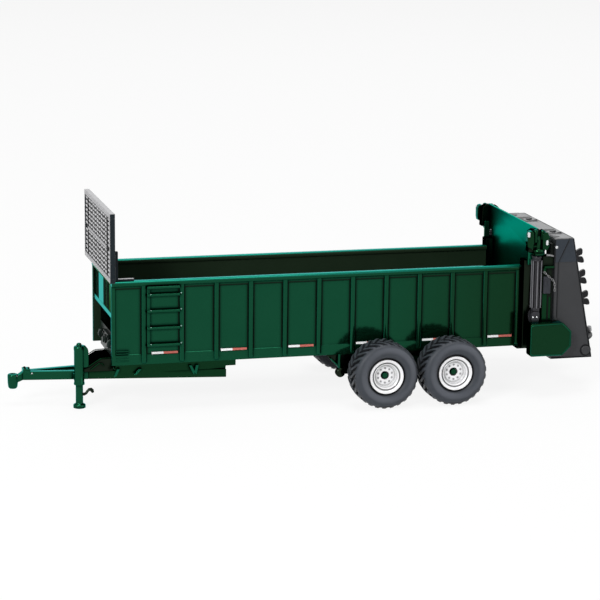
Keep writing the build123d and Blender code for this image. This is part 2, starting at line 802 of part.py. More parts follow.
with BuildPart() as cylinder_right:
    mirror(cylinder_left.part, about=Plane.XZ)

with BuildPart() as gate_plate:
    with BuildSketch(Plane.YZ.offset(gate_x - gate_t / 2)):
        with Locations((0, gate_low_z)):
            Rectangle(2 * gate_half, gate_top_z - gate_low_z, align=(Align.CENTER, Align.MIN))
        with Locations((0, gate_wide_z)):
            Rectangle(2 * gate_wide_half, gate_top_z - gate_wide_z, align=(Align.CENTER, Align.MIN))
    extrude(amount=gate_t)

head_front_x = gate_x - head_len_front
head_rear_x = gate_x + head_len_rear
head_h = gate_top_z - head_low_z
with BuildPart() as gate_head_left:
    with BuildSketch(Plane.XY.offset(head_low_z)) as head_outline:
        with Locations(((head_front_x + head_rear_x) / 2, -(head_in_y + head_out_y) / 2)):
            Rectangle(head_rear_x - head_front_x, head_out_y - head_in_y)
        chamfer(head_outline.vertices(), length=head_round)
    extrude(amount=head_h)
    with BuildSketch(Plane.YZ.offset(gate_x - gate_t / 2 - head_fit)):
        with Locations((0, gate_wide_z - head_fit)):
            Rectangle(2 * (gate_wide_half + head_fit), head_h, align=(Align.CENTER, Align.MIN))
    extrude(amount=gate_t + 2 * head_fit, mode=Mode.SUBTRACT)
    with BuildSketch(Plane.XY.offset(head_low_z + groove_rise)):
        with Locations((cylinder_x, -head_out_y)):
            Rectangle(groove_w, groove_d, align=(Align.CENTER, Align.MIN))
    extrude(amount=head_h, mode=Mode.SUBTRACT)

with BuildPart() as gate_head_right:
    mirror(gate_head_left.part, about=Plane.XZ)

with BuildPart() as gate_rod_left:
    with BuildSketch(Plane.XY.offset(rod_low_z)):
        with Locations((cylinder_x, -cylinder_y)):
            RegularPolygon(rod_r, tube_facets)
    extrude(amount=head_low_z - rod_low_z)

with BuildPart() as gate_rod_right:
    mirror(gate_rod_left.part, about=Plane.XZ)

# ------------------------------------------------------------------ beater housing
housing_rear_top_x = housing_front_x + housing_top_len
housing_rear_low_x = housing_front_x + housing_foot_len
with BuildPart() as housing_side_left:
    with BuildSketch(Plane.XZ.offset(housing_y - housing_t)):
        with BuildLine():
            Polyline(
                (housing_front_x, housing_low_z),
                (housing_rear_low_x, housing_low_z),
                (housing_rear_top_x, housing_top_z),
                (housing_front_x, housing_top_z),
                close=True,
            )
        make_face()
    extrude(amount=housing_t)
    with BuildSketch(Plane.XZ.offset(housing_y)):
        with BuildLine():
            Polyline(
                (housing_front_x, cover_top_z),
                (housing_front_x + flange_w, cover_top_z),
                (housing_front_x + flange_w, gusset_low_z),
                (housing_front_x + gusset_top_len, housing_top_z),
                (housing_front_x, housing_top_z),
                close=True,
            )
        make_face()
        with Locations((housing_rear_low_x - boss_setback, housing_low_z + boss_rise)):
            RegularPolygon(boss_r, bar_facets)
    extrude(amount=flange_d)

with BuildPart() as housing_side_right:
    mirror(housing_side_left.part, about=Plane.XZ)

housing_in = housing_y - housing_t
pan_top_z = housing_low_z + pan_t
lean = radians(beater_lean)
beater_foot_x = housing_rear_low_x - beater_setback
beater_len = (housing_top_z - pan_top_z) / cos(lean)      # from the pan to the beam, on the slant


def beater_plane(y, height, turn=0):
    """Plane square to a beater's axis, at a height along it above the pan."""
    foot = Plane((beater_foot_x, y, pan_top_z), x_dir=(cos(lean), 0, sin(lean)),
                 z_dir=(-sin(lean), 0, cos(lean)))
    return foot.offset(height).rotated((0, 0, turn))


beam_front_x = housing_front_x + top_beam_setback
beam_length = housing_rear_top_x - beam_front_x
with BuildPart() as top_beam:
    with BuildSketch(Plane.XZ.offset(-housing_in)):
        with Locations((beam_front_x, housing_top_z)):
            Rectangle(beam_length, top_beam_h, align=(Align.MIN, Align.MAX))
        with Locations((beam_front_x + top_beam_t, housing_top_z - top_beam_t)):
            Rectangle(beam_length - 2 * top_beam_t, top_beam_h, align=(Align.MIN, Align.MAX),
                      mode=Mode.SUBTRACT)
    extrude(amount=2 * housing_in)
    for y in (-beater_y, beater_y):
        with BuildSketch(beater_plane(y, beater_len - bearing_t)):
            Rectangle(bearing_w, bearing_w)
        extrude(amount=bearing_t)
    for y in (-beater_y, beater_y):
        with BuildSketch(beater_plane(y, beater_len - top_beam_h)):
            RegularPolygon(shaft_r + running_gap, bar_facets)
        extrude(amount=2 * top_beam_h, mode=Mode.SUBTRACT)

with BuildPart() as pan:
    with BuildSketch(Plane.XY.offset(housing_low_z)):
        with Locations((housing_front_x, 0)):
            Rectangle(housing_foot_len, 2 * housing_in, align=(Align.MIN, Align.CENTER))
    extrude(amount=pan_t)
    for y in (-beater_y, beater_y):
        with BuildSketch(beater_plane(y, 0)):
            Rectangle(bearing_w, bearing_w)
        extrude(amount=bearing_t)
    for y in (-beater_y, beater_y):
        with BuildSketch(beater_plane(y, -2 * pan_t)):
            Circle(shaft_r + running_gap)
        extrude(amount=4 * pan_t, mode=Mode.SUBTRACT)

cover_front_x = gate_x - cover_ahead
cover_rear_x = gate_x + cover_behind
with BuildPart() as drive_cover_left:
    with BuildSketch(Plane.XZ.offset(housing_y)):
        with BuildLine():
            Polyline(
                (cover_front_x, cover_low_z),
                (cover_rear_x - cover_cut, cover_low_z),
                (cover_rear_x, cover_low_z + cover_cut),
                (cover_rear_x, cover_top_z - cover_cut),
                (cover_rear_x - cover_cut, cover_top_z),
                (cover_front_x, cover_top_z),
                close=True,
            )
        make_face()
    extrude(amount=cover_depth)
    front_edges = drive_cover_left.edges().filter_by(Axis.Y).group_by(Axis.X)[0]
    fillet(front_edges, radius=cover_round)

with BuildPart() as drive_cover_right:
    mirror(drive_cover_left.part, about=Plane.XZ)

# ------------------------------------------------------------------ beaters
blade = (                             # (radius, height along the axis) of one forked end
    (core_r, -blade_root_h),
    (blade_neck_r, -blade_root_h),
    (beater_r - blade_rake, -blade_tip_h),
    (blade_notch_r, 0),
    (beater_r, blade_tip_h - blade_rake),
    (beater_r - blade_rake, blade_tip_h),
    (blade_neck_r, blade_root_h),
    (core_r, blade_root_h),
)
beaters = {}
for side, y in (("left", -beater_y), ("right", beater_y)):
    with BuildPart() as beater:
        with BuildSketch(beater_plane(y, -shaft_in_pan)):
            RegularPolygon(shaft_r, bar_facets)
        extrude(amount=shaft_in_pan + core_low)
        with BuildSketch(beater_plane(y, core_low)):
            RegularPolygon(core_r, thin_facets)
        extrude(amount=beater_len - core_low - core_short)
        with BuildSketch(beater_plane(y, beater_len - core_short)):
            RegularPolygon(shaft_r, bar_facets)
        extrude(amount=core_short + shaft_past_beam)
        with BuildSketch(beater_plane(y, disc_at)):
            RegularPolygon(disc_r, disc_facets)
        extrude(amount=disc_t)
        with BuildSketch(beater_plane(y, disc_at + disc_t)):
            Rectangle(2 * throw_blade_r, blade_t)
            Rectangle(blade_t, 2 * throw_blade_r)
        extrude(amount=throw_blade_h)
        for level in range(level_count):
            level_plane = beater_plane(y, level_first + level_pitch * level, 90 * (level + 1))
            blade_plane = Plane(level_plane.origin, x_dir=level_plane.x_dir,
                                z_dir=-level_plane.y_dir)
            with BuildSketch(blade_plane):
                with BuildLine():
                    Polyline(*blade, *[(-r, -h) for r, h in blade], close=True)
                make_face()
            extrude(amount=blade_t / 2, both=True)
    beaters[f"beater_{side}"] = beater

# ------------------------------------------------------------------ one file for each piece
pieces = {
    "side_left": side_left,
    "side_right": side_right,
    "front_wall": front_wall,
    "floor_sheet": floor_sheet,
    "apron": apron,
    "screen": screen,
    "screen_brackets": screen_brackets,
    "ladder": ladder,
    "chassis_rail_left": chassis_rail_left,
    "chassis_rail_right": chassis_rail_right,
    "cross_members": cross_members,
    "tongue_beam_left": tongue_beam_left,
    "tongue_beam_right": tongue_beam_right,
    "tow_eye": tow_eye,
    "front_hood": front_hood,
    "gearbox": gearbox,
    "jack_tube": jack_tube,
    "jack_leg": jack_leg,
    "jack_pin": jack_pin,
    "walking_beam_left": walking_beam_left,
    "walking_beam_right": walking_beam_right,
    "hanger_left": hanger_left,
    "hanger_right": hanger_right,
    "bogie_cross_tube": bogie_cross_tube,
    "rear_post_left": rear_post_left,
    "rear_post_right": rear_post_right,
    "rear_sill": rear_sill,
    "cylinder_left": cylinder_left,
    "cylinder_right": cylinder_right,
    "gate_plate": gate_plate,
    "gate_head_left": gate_head_left,
    "gate_head_right": gate_head_right,
    "gate_rod_left": gate_rod_left,
    "gate_rod_right": gate_rod_right,
    "housing_side_left": housing_side_left,
    "housing_side_right": housing_side_right,
    "top_beam": top_beam,
    "pan": pan,
    "drive_cover_left": drive_cover_left,
    "drive_cover_right": drive_cover_right,
    **wheels,
    **beaters,
}
for name, piece in pieces.items():
    piece.part.label = name
    export_step(piece.part, f"parts/{name}.step")
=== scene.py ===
"""Looks of a die-cast scale model of a tandem-axle manure spreader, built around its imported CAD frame.

Lengths are in millimetres until a mesh is finished, and metres after that.
"""

import json
from math import cos, pi, radians, sin

import bmesh
import bpy
from mathutils import Matrix, Vector

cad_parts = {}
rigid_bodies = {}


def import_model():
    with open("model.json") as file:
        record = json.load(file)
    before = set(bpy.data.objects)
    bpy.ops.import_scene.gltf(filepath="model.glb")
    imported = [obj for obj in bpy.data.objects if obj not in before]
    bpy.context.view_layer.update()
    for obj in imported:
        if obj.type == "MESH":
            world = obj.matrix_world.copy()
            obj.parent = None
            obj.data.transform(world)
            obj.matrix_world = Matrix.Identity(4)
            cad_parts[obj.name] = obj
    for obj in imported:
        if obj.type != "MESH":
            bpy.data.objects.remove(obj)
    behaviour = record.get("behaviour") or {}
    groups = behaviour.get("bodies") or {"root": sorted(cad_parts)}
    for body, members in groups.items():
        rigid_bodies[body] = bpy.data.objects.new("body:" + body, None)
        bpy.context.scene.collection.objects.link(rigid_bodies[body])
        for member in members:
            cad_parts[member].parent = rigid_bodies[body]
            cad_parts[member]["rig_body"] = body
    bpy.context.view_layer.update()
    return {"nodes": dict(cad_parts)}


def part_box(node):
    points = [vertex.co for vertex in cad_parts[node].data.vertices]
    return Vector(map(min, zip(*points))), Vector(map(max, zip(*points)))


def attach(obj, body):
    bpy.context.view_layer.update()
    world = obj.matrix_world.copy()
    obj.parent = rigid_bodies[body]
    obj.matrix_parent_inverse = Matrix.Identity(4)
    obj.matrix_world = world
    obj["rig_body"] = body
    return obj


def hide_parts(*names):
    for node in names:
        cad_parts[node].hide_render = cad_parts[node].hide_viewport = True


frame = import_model()

# ---------------------------------------- Chassis rails and cross members
# Two long die-cast rails under the floor, stepped where the tongue ends, with flat members across.
# The rails and members are in a darker copy of the box's green gloss enamel, a painted shade
# for where they lie under the box.
collection = bpy.context.scene.collection
sides = (("left", -1), ("right", 1))   # a side and its way out along Y
drift_from, drift_to = 0.005, 0.072    # where along the model a finish drifts to its darker rear colour, a painted shade
sheen_way = (0.25, -0.94, 0.22)        # the fixed way that the painted sheen is brightest, in the model's space
sheen_from = 0.86                      # how far a face agrees with it, out of 1, where the painted sheen begins
corner_shade_share = 0.04                    # what the painted shade in an inner corner keeps of the colour


def span(node):
    """Lowest and highest corner of a CAD node, in millimetres."""
    low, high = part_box(node)
    return low * 1000, high * 1000


def middle_of(node):
    """Middle of a CAD node, and its half width along Y, in millimetres."""
    low, high = span(node)
    return (low + high) / 2, (high.y - low.y) / 2


def add_node(tree, kind, values=(), fed=(), **settings):
    """A shader node with its settings, then the values and the feeds of its inputs."""
    node = tree.nodes.new("ShaderNode" + kind)
    for name, setting in settings.items():
        setattr(node, name, setting)
    for socket, value in dict(values).items():
        node.inputs[socket].default_value = value
    for socket, source in dict(fed).items():
        tree.links.new(source, node.inputs[socket])
    return node


def blended(tree, factor, first, second):
    """The colour between two. Each is a plain colour or another node's output."""
    mix = add_node(tree, "Mix", fed={"Factor": factor}, data_type="RGBA")
    for socket, colour in (("A", first), ("B", second)):
        if isinstance(colour, tuple):
            mix.inputs[socket].default_value = (*colour, 1)
        else:
            tree.links.new(colour, mix.inputs[socket])
    return mix.outputs["Result"]


def finish_of(name, colour, second, rough, wander=0.05, cloud=9.0, grain=0.5, relief=0.004, metal=0.0,
              specular=0.5, tint=(1, 1, 1), corner=0.0, depth=2.0, rear_shade=None, painted_sheen=None):
    """A finish whose colour and gloss wander a little, over a fine uneven surface.

    cloud and grain are the sizes of the patches and of the surface's unevenness in millimetres,
    relief is its height. Within corner millimetres of an inner corner the colour is darkened, a
    painted shade, the more so the greater depth is. The rear colour is a darker third colour that
    the finish drifts to at the model's rear, a painted shade, and the sheen colour is a painted
    sheen, lighter on what faces to either side, whichever way it is seen."""
    material = bpy.data.materials.new(name)
    material.use_nodes = True
    tree = material.node_tree
    place = add_node(tree, "TexCoord").outputs["Object"]
    patches = add_node(tree, "TexNoise", {"Scale": 1000 / cloud, "Detail": 4},
                       {"Vector": place}).outputs["Fac"]
    paint = blended(tree, patches, colour, second)
    # Painted shade: the colour drifts darker toward the model's rear.
    if rear_shade:
        along = add_node(tree, "SeparateXYZ", fed={"Vector": place}).outputs["X"]
        drift = add_node(tree, "MapRange", {"From Min": drift_from, "From Max": drift_to},
                         {"Value": along}, interpolation_type="SMOOTHSTEP")
        paint = blended(tree, drift.outputs["Result"], paint, rear_shade)
    # Painted sheen: a lighter colour on faces that look along or against a fixed way.
    if painted_sheen:
        outlook = add_node(tree, "NewGeometry").outputs["Normal"]
        toward = add_node(tree, "VectorMath", {1: sheen_way}, {0: outlook}, operation="DOT_PRODUCT")
        size = add_node(tree, "Math", fed={0: toward.outputs["Value"]}, operation="ABSOLUTE")
        swell = add_node(tree, "MapRange", {"From Min": sheen_from}, {"Value": size.outputs["Value"]},
                         interpolation_type="SMOOTHSTEP")
        paint = blended(tree, swell.outputs["Result"], paint, painted_sheen)
    # Painted shade: the colour darkens near inner corners, by how much open air a point sees.
    if corner:
        open_air = add_node(tree, "AmbientOcclusion", {"Distance": corner / 1000}, samples=8)
        corner_shading = add_node(tree, "Math", {1: depth}, {0: open_air.outputs["AO"]}, operation="POWER")
        dark = tuple(part * corner_shade_share for part in colour)
        paint = blended(tree, corner_shading.outputs["Value"], dark, paint)
    gloss = add_node(tree, "MapRange", {"To Min": rough - wander, "To Max": rough + wander},
                     {"Value": patches})
    fine = add_node(tree, "TexNoise", {"Scale": 1000 / grain, "Detail": 2}, {"Vector": place})
    bump = add_node(tree, "Bump", {"Distance": relief / 1000}, {"Height": fine.outputs["Fac"]})
    shader = tree.nodes["Principled BSDF"]
    shader.inputs["Metallic"].default_value = metal
    shader.inputs["Specular IOR Level"].default_value = specular
    shader.inputs["Specular Tint"].default_value = (*tint, 1)
    tree.links.new(paint, shader.inputs["Base Color"])
    tree.links.new(gloss.outputs["Result"], shader.inputs["Roughness"])
    tree.links.new(bump.outputs["Normal"], shader.inputs["Normal"])
    return material


def dress(name, shape, finish, body, bevel, steps, sharp, replaced):
    """Turns a shape in metres into a piece with its material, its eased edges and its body."""
    mesh = bpy.data.meshes.new(name)
    shape.to_mesh(mesh)
    shape.free()
    mesh.materials.append(finish)
    mesh.shade_smooth()
    obj = bpy.data.objects.new(name, mesh)
    collection.objects.link(obj)
    if bevel:
        edge = obj.modifiers.new("eased edges", "BEVEL")
        edge.width = bevel / 1000
        edge.segments = steps
        edge.limit_method = "ANGLE"
        edge.angle_limit = radians(sharp)
        edge.harden_normals = True
    else:
        mesh.set_sharp_from_angle(angle=radians(sharp))
    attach(obj, body)
    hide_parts(*replaced)
    return obj


def eased(node, finish, bevel=0.2, steps=2, cuts=()):
    """A CAD piece of flat faces, shown with its edges eased as a casting's are.

    Each cut is a point and a direction: what lies beyond the point that way is left off."""
    cad = frame["nodes"][node]
    shape = bmesh.new()
    shape.from_mesh(cad.data)
    bmesh.ops.remove_doubles(shape, verts=shape.verts, dist=2e-6)
    bmesh.ops.dissolve_limit(shape, angle_limit=radians(1), verts=shape.verts, edges=shape.edges)
    for point, way in cuts:
        cut = bmesh.ops.bisect_plane(shape, geom=shape.verts[:] + shape.edges[:] + shape.faces[:],
                                     plane_co=Vector(point) / 1000, plane_no=way, clear_outer=True)
        rim = [e for e in cut["geom_cut"] if isinstance(e, bmesh.types.BMEdge)]
        bmesh.ops.edgenet_fill(shape, edges=rim)
    return dress(node + "_eased", shape, finish, cad["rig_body"], bevel, steps, 35, [node])


# A darker copy of the green enamel, a painted shade for the parts under the box and other shaded places.
shaded_frame_green = finish_of("frame_green_enamel", (0.0055, 0.031, 0.0115), (0.0065, 0.038, 0.015), 0.16,
                        wander=0.03, metal=0.88, specular=0.2, tint=(0.08, 0.55, 0.35), corner=1.2)
# A lighter copy of the green enamel, a painted highlight.
lit_green = finish_of("flank_green_enamel", (0.0065, 0.088, 0.046), (0.0075, 0.098, 0.052), 0.16,
                        wander=0.03, metal=0.88, specular=0.2, tint=(0.08, 0.55, 0.45))
for node in ("chassis_rail_left", "chassis_rail_right", "cross_members"):
    eased(node, shaded_frame_green)


def made(name, shape, finish, body="chassis", bevel=0.0, steps=2, sharp=35,
         replaced=()):
    """Turns a shape in millimetres into a piece. Edges sharper than sharp degrees stay crisp or are eased."""
    bmesh.ops.recalc_face_normals(shape, faces=shape.faces)
    bmesh.ops.scale(shape, vec=(0.001, 0.001, 0.001), verts=shape.verts)
    return dress(name, shape, finish, body, bevel, steps, sharp, replaced)


def skin(shape, rings, closed=False):
    """Joins rings of points, each with the same number of them. The ends are capped or, if closed, met."""
    rings = [[shape.verts.new(p) for p in ring] for ring in rings]
    around = len(rings[0])
    for a, b in list(zip(rings, rings[1:])) + ([(rings[-1], rings[0])] if closed else []):
        for k in range(around):
            shape.faces.new((a[k], a[(k + 1) % around], b[(k + 1) % around], b[k]))
    if not closed:
        shape.faces.new(rings[0][::-1])
        shape.faces.new(rings[-1])


def bar(shape, axis, section, low, high):
    """A straight bar of one section along x, y or z. The section's pairs are in that order too."""
    place = {"x": lambda a, b, t: (t, a, b), "y": lambda a, b, t: (a, t, b), "z": lambda a, b, t: (a, b, t)}
    skin(shape, [[place[axis](a, b, t) for a, b in section] for t in (low, high)])


# Small slanting gusset plates stand on each rail's outer face where the tongue's beams run in.
gusset_in, gusset_thick = 10.4, 1.1    # from the rail's outer face, which they stand on, outward
gussets = ((-63.3, 12.9, -64.9, 10.5), (-56.2, 12.6, -58.4, 10.7), (-37.6, 13.0, -38.8, 9.9),
           (-39.9, 13.0, -38.9, 9.9))  # (rear corner's x and z at the top, middle's x and z at the foot)
shape = bmesh.new()
for x_top, z_top, x_foot, z_foot in gussets:
    section = [(x_top, z_top), (x_top - 0.95, z_top), (x_foot - 0.45, z_foot), (x_foot + 0.45, z_foot)]
    for out in (-1, 1):
        bar(shape, "y", section, out * gusset_in, out * (gusset_in + gusset_thick))
made("rail_gussets", shape, lit_green, bevel=0.12)

# ---------------------------------------- Load box
# Two die-cast side sheets with upright hat ribs, a square top rail and a folded skirt, a front wall
# with a forward lip, and the floor sheet between them, in the green enamel, with lighter and darker
# copies of it painted on as highlight and shade.
green = finish_of("green_enamel", (0.0060, 0.058, 0.027), (0.0075, 0.064, 0.030), 0.12, wander=0.03,
                  metal=0.88, specular=0.3, tint=(0.12, 0.95, 0.90), corner=1.2, depth=3.0,
                  rear_shade=(0.0066, 0.034, 0.0125))
# A lighter copy of the enamel for painted highlights.
highlight_green = finish_of("bright_green_enamel", (0.0075, 0.118, 0.078), (0.0085, 0.132, 0.088), 0.14,
                         wander=0.03, metal=0.88, specular=0.3, tint=(0.12, 0.95, 0.92))
# A darker copy of the enamel, a painted shade on flanks, strips, faces and posts, and the colour of some
# darker parts.
deep_green_and_shade = finish_of("deep_green_enamel", (0.0095, 0.0150, 0.0100), (0.013, 0.020, 0.013), 0.18,
                       wander=0.03, metal=1.0, tint=(0.05, 0.12, 0.09), corner=1.2)
# A dull dark green for the box's insides, a painted shade.
inner_shaded_green = finish_of("inner_shaded_green", (0.0110, 0.0220, 0.0110), (0.015, 0.029, 0.015), 0.42, metal=0.1,
                        specular=0.10)


def block(shape, low, high):
    """A box between two opposite corners."""
    middle = (Vector(low) + Vector(high)) / 2
    size = [abs(b - a) for a, b in zip(low, high)]
    bmesh.ops.create_cube(shape, size=1, matrix=Matrix.Translation(middle) @ Matrix.Diagonal((*size, 1)))


def facing(out, pairs):
    """Pairs whose first value is a distance along Y, turned to the left (-1) or the right (1) side."""
    return [(out * y, other) for y, other in pairs]


def recoat(piece, finish, *tests):
    """Gives the faces that pass every test a further finish.

    A test reads the way a face looks and its middle in millimetres."""
    piece.data.materials.append(finish)
    for face in piece.data.polygons:
        if all(test(face.normal, face.center * 1000) for test in tests):
            face.material_index = len(piece.data.materials) - 1
    return piece


low, high = span("side_left")
box_front, box_rear, box_foot, box_top = low.x, high.x, low.z, high.z
sheet_out = 17.8
rail_foot = box_top - 1.6
skirt_top = box_foot + 3.2
first_rib_x, second_rib_x, rib_pitch, rib_count = -56.8, -44.55, 11.24, 12
rib_xs = [first_rib_x] + [second_rib_x + rib_pitch * n for n in range(rib_count - 1)]
flange = ((-1.18, -0.1), (-1.15, 0.14), (1.15, 0.14), (1.18, -0.1))
rib_crown = ((-0.78, 0.0), (-0.74, 0.46), (-0.56, 0.74), (-0.30, 0.88), (0.30, 0.88), (0.56, 0.74),
             (0.74, 0.46), (0.78, 0.0))          # (across the rib, out of the sheet)
skirt = [(sheet_out - 0.3, box_foot), (sheet_out + 0.35, box_foot), (sheet_out + 0.38, skirt_top - 0.35),
         (sheet_out + 0.22, skirt_top), (sheet_out - 0.3, skirt_top + 0.35)]
strip = [(sheet_out - 0.2, rail_foot - 1.15), (sheet_out + 0.2, rail_foot - 1.0),
         (sheet_out + 0.28, rail_foot - 0.6), (sheet_out + 0.28, rail_foot + 0.2),
         (sheet_out - 0.2, rail_foot + 0.2)]
corner_x, corner_y = box_front + 1.3, sheet_out + 0.4          # the corner post's far edges
post = [(box_front, sheet_out - 0.5), (box_front, corner_y - 0.35), (box_front + 0.1, corner_y - 0.1),
        (box_front + 0.35, corner_y), (corner_x - 0.35, corner_y), (corner_x - 0.1, corner_y - 0.1),
        (corner_x, corner_y - 0.35), (corner_x, sheet_out - 0.5)]
rail, rail_in, rail_out = [], 16.2, 18.8         # the top rail's section, with rounded corners
for y, z, quarter, r in ((rail_out, box_top, 0, 0.75), (rail_in, box_top, 90, 0.4),
                         (rail_in, rail_foot, 180, 0.4), (rail_out, rail_foot, 270, 0.4)):
    for a in (quarter + 15, quarter + 45, quarter + 75):
        rail.append((y + r * (cos(radians(a)) - (1 if y == rail_out else -1)),
                     z + r * (sin(radians(a)) - (1 if z == box_top else -1))))
for side, out in sides:
    shape = bmesh.new()
    block(shape, (box_front, out * 16.8, box_foot), (box_rear, out * sheet_out, rail_foot + 0.3))
    for section in (skirt, strip):
        bar(shape, "x", facing(out, section), box_front + 0.02, box_rear - 0.02)
    bar(shape, "x", facing(out, rail), box_front, box_rear)
    if side == "left":                 # small raised lines low at the front corner
        for z in (17.0, 18.0, 19.3, 20.1):
            block(shape, (box_front + 1.4, -sheet_out - 0.48, z), (box_front + 5.4, -sheet_out, z + 0.28))
    piece = made(f"side_{side}_sheet", shape, green, bevel=0.08, sharp=50, replaced=[f"side_{side}"])
    # Painted shade on the inner faces, a painted highlight on the rail's top and a painted shadow on the
    # strip under the rail.
    recoat(piece, inner_shaded_green, lambda way, at: way.y * at.y < -12 and abs(at.y) < 17)
    recoat(piece, highlight_green, lambda way, at: way.z > 0.2 and at.z > rail_foot + 0.5)
    recoat(piece, deep_green_and_shade, lambda way, at: abs(at.y) > sheet_out + 0.05,
           lambda way, at: -1.3 < at.z - rail_foot < -0.5)

    shape = bmesh.new()
    for x in rib_xs:
        rings = []
        for z, across, proud in ((box_foot + 0.30, 0.55, 0.10), (box_foot + 0.38, 0.82, 0.48),
                                 (box_foot + 0.62, 1.0, 0.80), (box_foot + 1.0, 1.1, 0.96),
                                 (box_foot + 1.5, 1.1, 1.0), (rail_foot + 0.1, 1.1, 1.0)):
            rings.append([(x + across * a, out * (sheet_out - 0.05 + proud * (b + 0.07)), z)
                          for a, b in rib_crown])
        skin(shape, rings)
    bar(shape, "z", [(x, out * y) for x, y in post], box_foot, rail_foot + 0.1)
    piece = made(f"side_{side}_ribs", shape, green, sharp=60)
    # Painted shade on the ribs' rear flanks and a painted highlight on their front flanks.
    recoat(piece, deep_green_and_shade, lambda way, at: way.x > 0.55 and at.x > box_front + 2)
    recoat(piece, lit_green, lambda way, at: way.x < -0.45 and abs(way.y) > 0.35)
    # A dark flange behind each rib, a painted shade along both its sides.
    shape = bmesh.new()
    for x in rib_xs:
        section = [(x + across, out * (sheet_out + proud)) for across, proud in flange]
        bar(shape, "z", section, box_foot + 0.9, rail_foot + 0.1)
    made(f"side_{side}_rib_shade_flanges", shape, deep_green_and_shade)

low, high = span("front_wall")
fold_z = 30.5
piece = eased("front_wall", shaded_frame_green)
# Painted shade on the front wall's inner face and on its front face.
recoat(piece, inner_shaded_green, lambda way, at: way.x > 0.9)
recoat(piece, deep_green_and_shade, lambda way, at: way.x < -0.9 and at.x > low.x + 1.5)
eased("floor_sheet", inner_shaded_green)
# Dark strips on the front wall's upper panel, a painted shade.
shape = bmesh.new()
for y0, y1 in ((7.6, 16.6), (-5.2, -1.1), (-10.7, -6.6)):
    block(shape, (low.x + 0.40, y0, fold_z + 1.8), (low.x + 0.55, y1, rail_foot - 0.2))
made("front_wall_shade_strips", shape, deep_green_and_shade)
# A light strip on the fold's ledge and a light patch above it, a painted highlight.
shape = bmesh.new()
block(shape, (low.x + 0.35, -16.6, fold_z), (low.x + 0.55, 16.0, fold_z + 1.5))
block(shape, (low.x + 0.38, -0.9, fold_z + 1.5), (low.x + 0.55, 7.4, rail_foot - 0.2))
made("front_wall_lip", shape, highlight_green, bevel=0.08)

# Strips of tape, white in front and red behind, lie along the fold of each skirt between the ribs.
tape_white = finish_of("tape_white", (0.74, 0.74, 0.75), (0.82, 0.82, 0.83), 0.3, grain=0.25, relief=0.006)
tape_red = finish_of("tape_red", (0.40, 0.085, 0.065), (0.50, 0.15, 0.12), 0.35, cloud=2.0, grain=0.25,
                     relief=0.006, specular=0.3)
tape_low, tape_high = skirt_top - 0.02, skirt_top + 0.62
tape = [(sheet_out + 0.34, tape_low), (sheet_out + 0.47, tape_low), (sheet_out + 0.40, skirt_top + 0.02),
        (sheet_out + 0.20, tape_high), (sheet_out + 0.04, tape_high)]
tape_stations = ((-54.3, -45.9), (-31.9, -23.4), (-9.6, -1.3), (12.9, 21.3), (35.3, 43.7), (57.8, 66.1))
for colour, finish, first, last in (("white", tape_white, 0.0, 0.45), ("red", tape_red, 0.45, 1.0)):
    shape = bmesh.new()
    for out in (-1, 1):
        for x0, x1 in tape_stations:
            bar(shape, "x", facing(out, tape), x0 + (x1 - x0) * first, x0 + (x1 - x0) * last)
    made(f"tape_{colour}", shape, finish, sharp=60)

# ---------------------------------------- Apron
# Moulded black slats across two strands of chain that draw the load to the rear along the floor.
# One dull plastic moulding, laid on the floor sheet.
apron_finish = finish_of("apron_plastic", (0.010, 0.016, 0.013), (0.018, 0.026, 0.022), 0.45)
eased("apron", apron_finish, 0.15)

# ---------------------------------------- Screen
# A moulded frame over the front wall, filled with a pale mesh of oval knots on a dark sheet, and
# held by two angle brackets on the rail. The frame's narrow sides and the brackets are darker than
# the faces, a painted shade, and the brackets' tops lighter, a painted highlight.
# The frame and mesh darken near inner corners, a painted shade.
frame_grey = finish_of("frame_grey", (0.28, 0.28, 0.29), (0.42, 0.42, 0.43), 0.45, cloud=2.0, corner=0.5)
mesh_grey = finish_of("mesh_grey", (0.44, 0.44, 0.45), (0.66, 0.66, 0.67), 0.5, cloud=1.4, corner=0.5)
mesh_dark = finish_of("mesh_dark", (0.020, 0.021, 0.022), (0.034, 0.034, 0.036), 0.6, specular=0.15)
# A darker colour for narrow sides, a painted shade.
side_shade_dark = finish_of("side_shade_dark", (0.009, 0.013, 0.016), (0.014, 0.020, 0.024), 0.45, specular=0.08)


def rod(shape, points, radius, facets, closed=False):
    """A round bar along a line of points, with one radius or one for each point."""
    points = [Vector(p) for p in points]
    count = len(points)
    rings, side = [], None
    for n, point in enumerate(points):
        before = points[n - 1] if n or closed else point
        after = points[(n + 1) % count] if n < count - 1 or closed else point
        along = (after - before).normalized()
        if side is None:
            side = along.orthogonal().normalized()
        side = (side - along * side.dot(along)).normalized()
        other = along.cross(side)
        r = radius[n] if isinstance(radius, (list, tuple)) else radius
        turns = [2 * pi * k / facets for k in range(facets)]
        rings.append([point + side * r * cos(t) + other * r * sin(t) for t in turns])
    skin(shape, rings, closed)


low, high = span("screen")
front_x, rear_x = low.x, high.x + 0.25
edge_w, side_w, stile_y, stile_w, mid_z, mid_half = 1.5, 1.1, 17.6, 1.2, 53.8, 0.45
shape = bmesh.new()
for y0, y1, z0, z1 in (
    (low.y, high.y, high.z - edge_w, high.z),
    (low.y, high.y, low.z, low.z + edge_w),
    (low.y, low.y + side_w, low.z + edge_w, high.z - edge_w),
    (high.y - side_w, high.y, low.z + edge_w, high.z - edge_w),
    (-stile_y + stile_w / 2, stile_y - stile_w / 2, mid_z - mid_half, mid_z + mid_half),
):
    block(shape, (front_x, y0, z0), (rear_x, y1, z1))
piece = made("screen_frame", shape, frame_grey, bevel=0.12, replaced=["screen"])
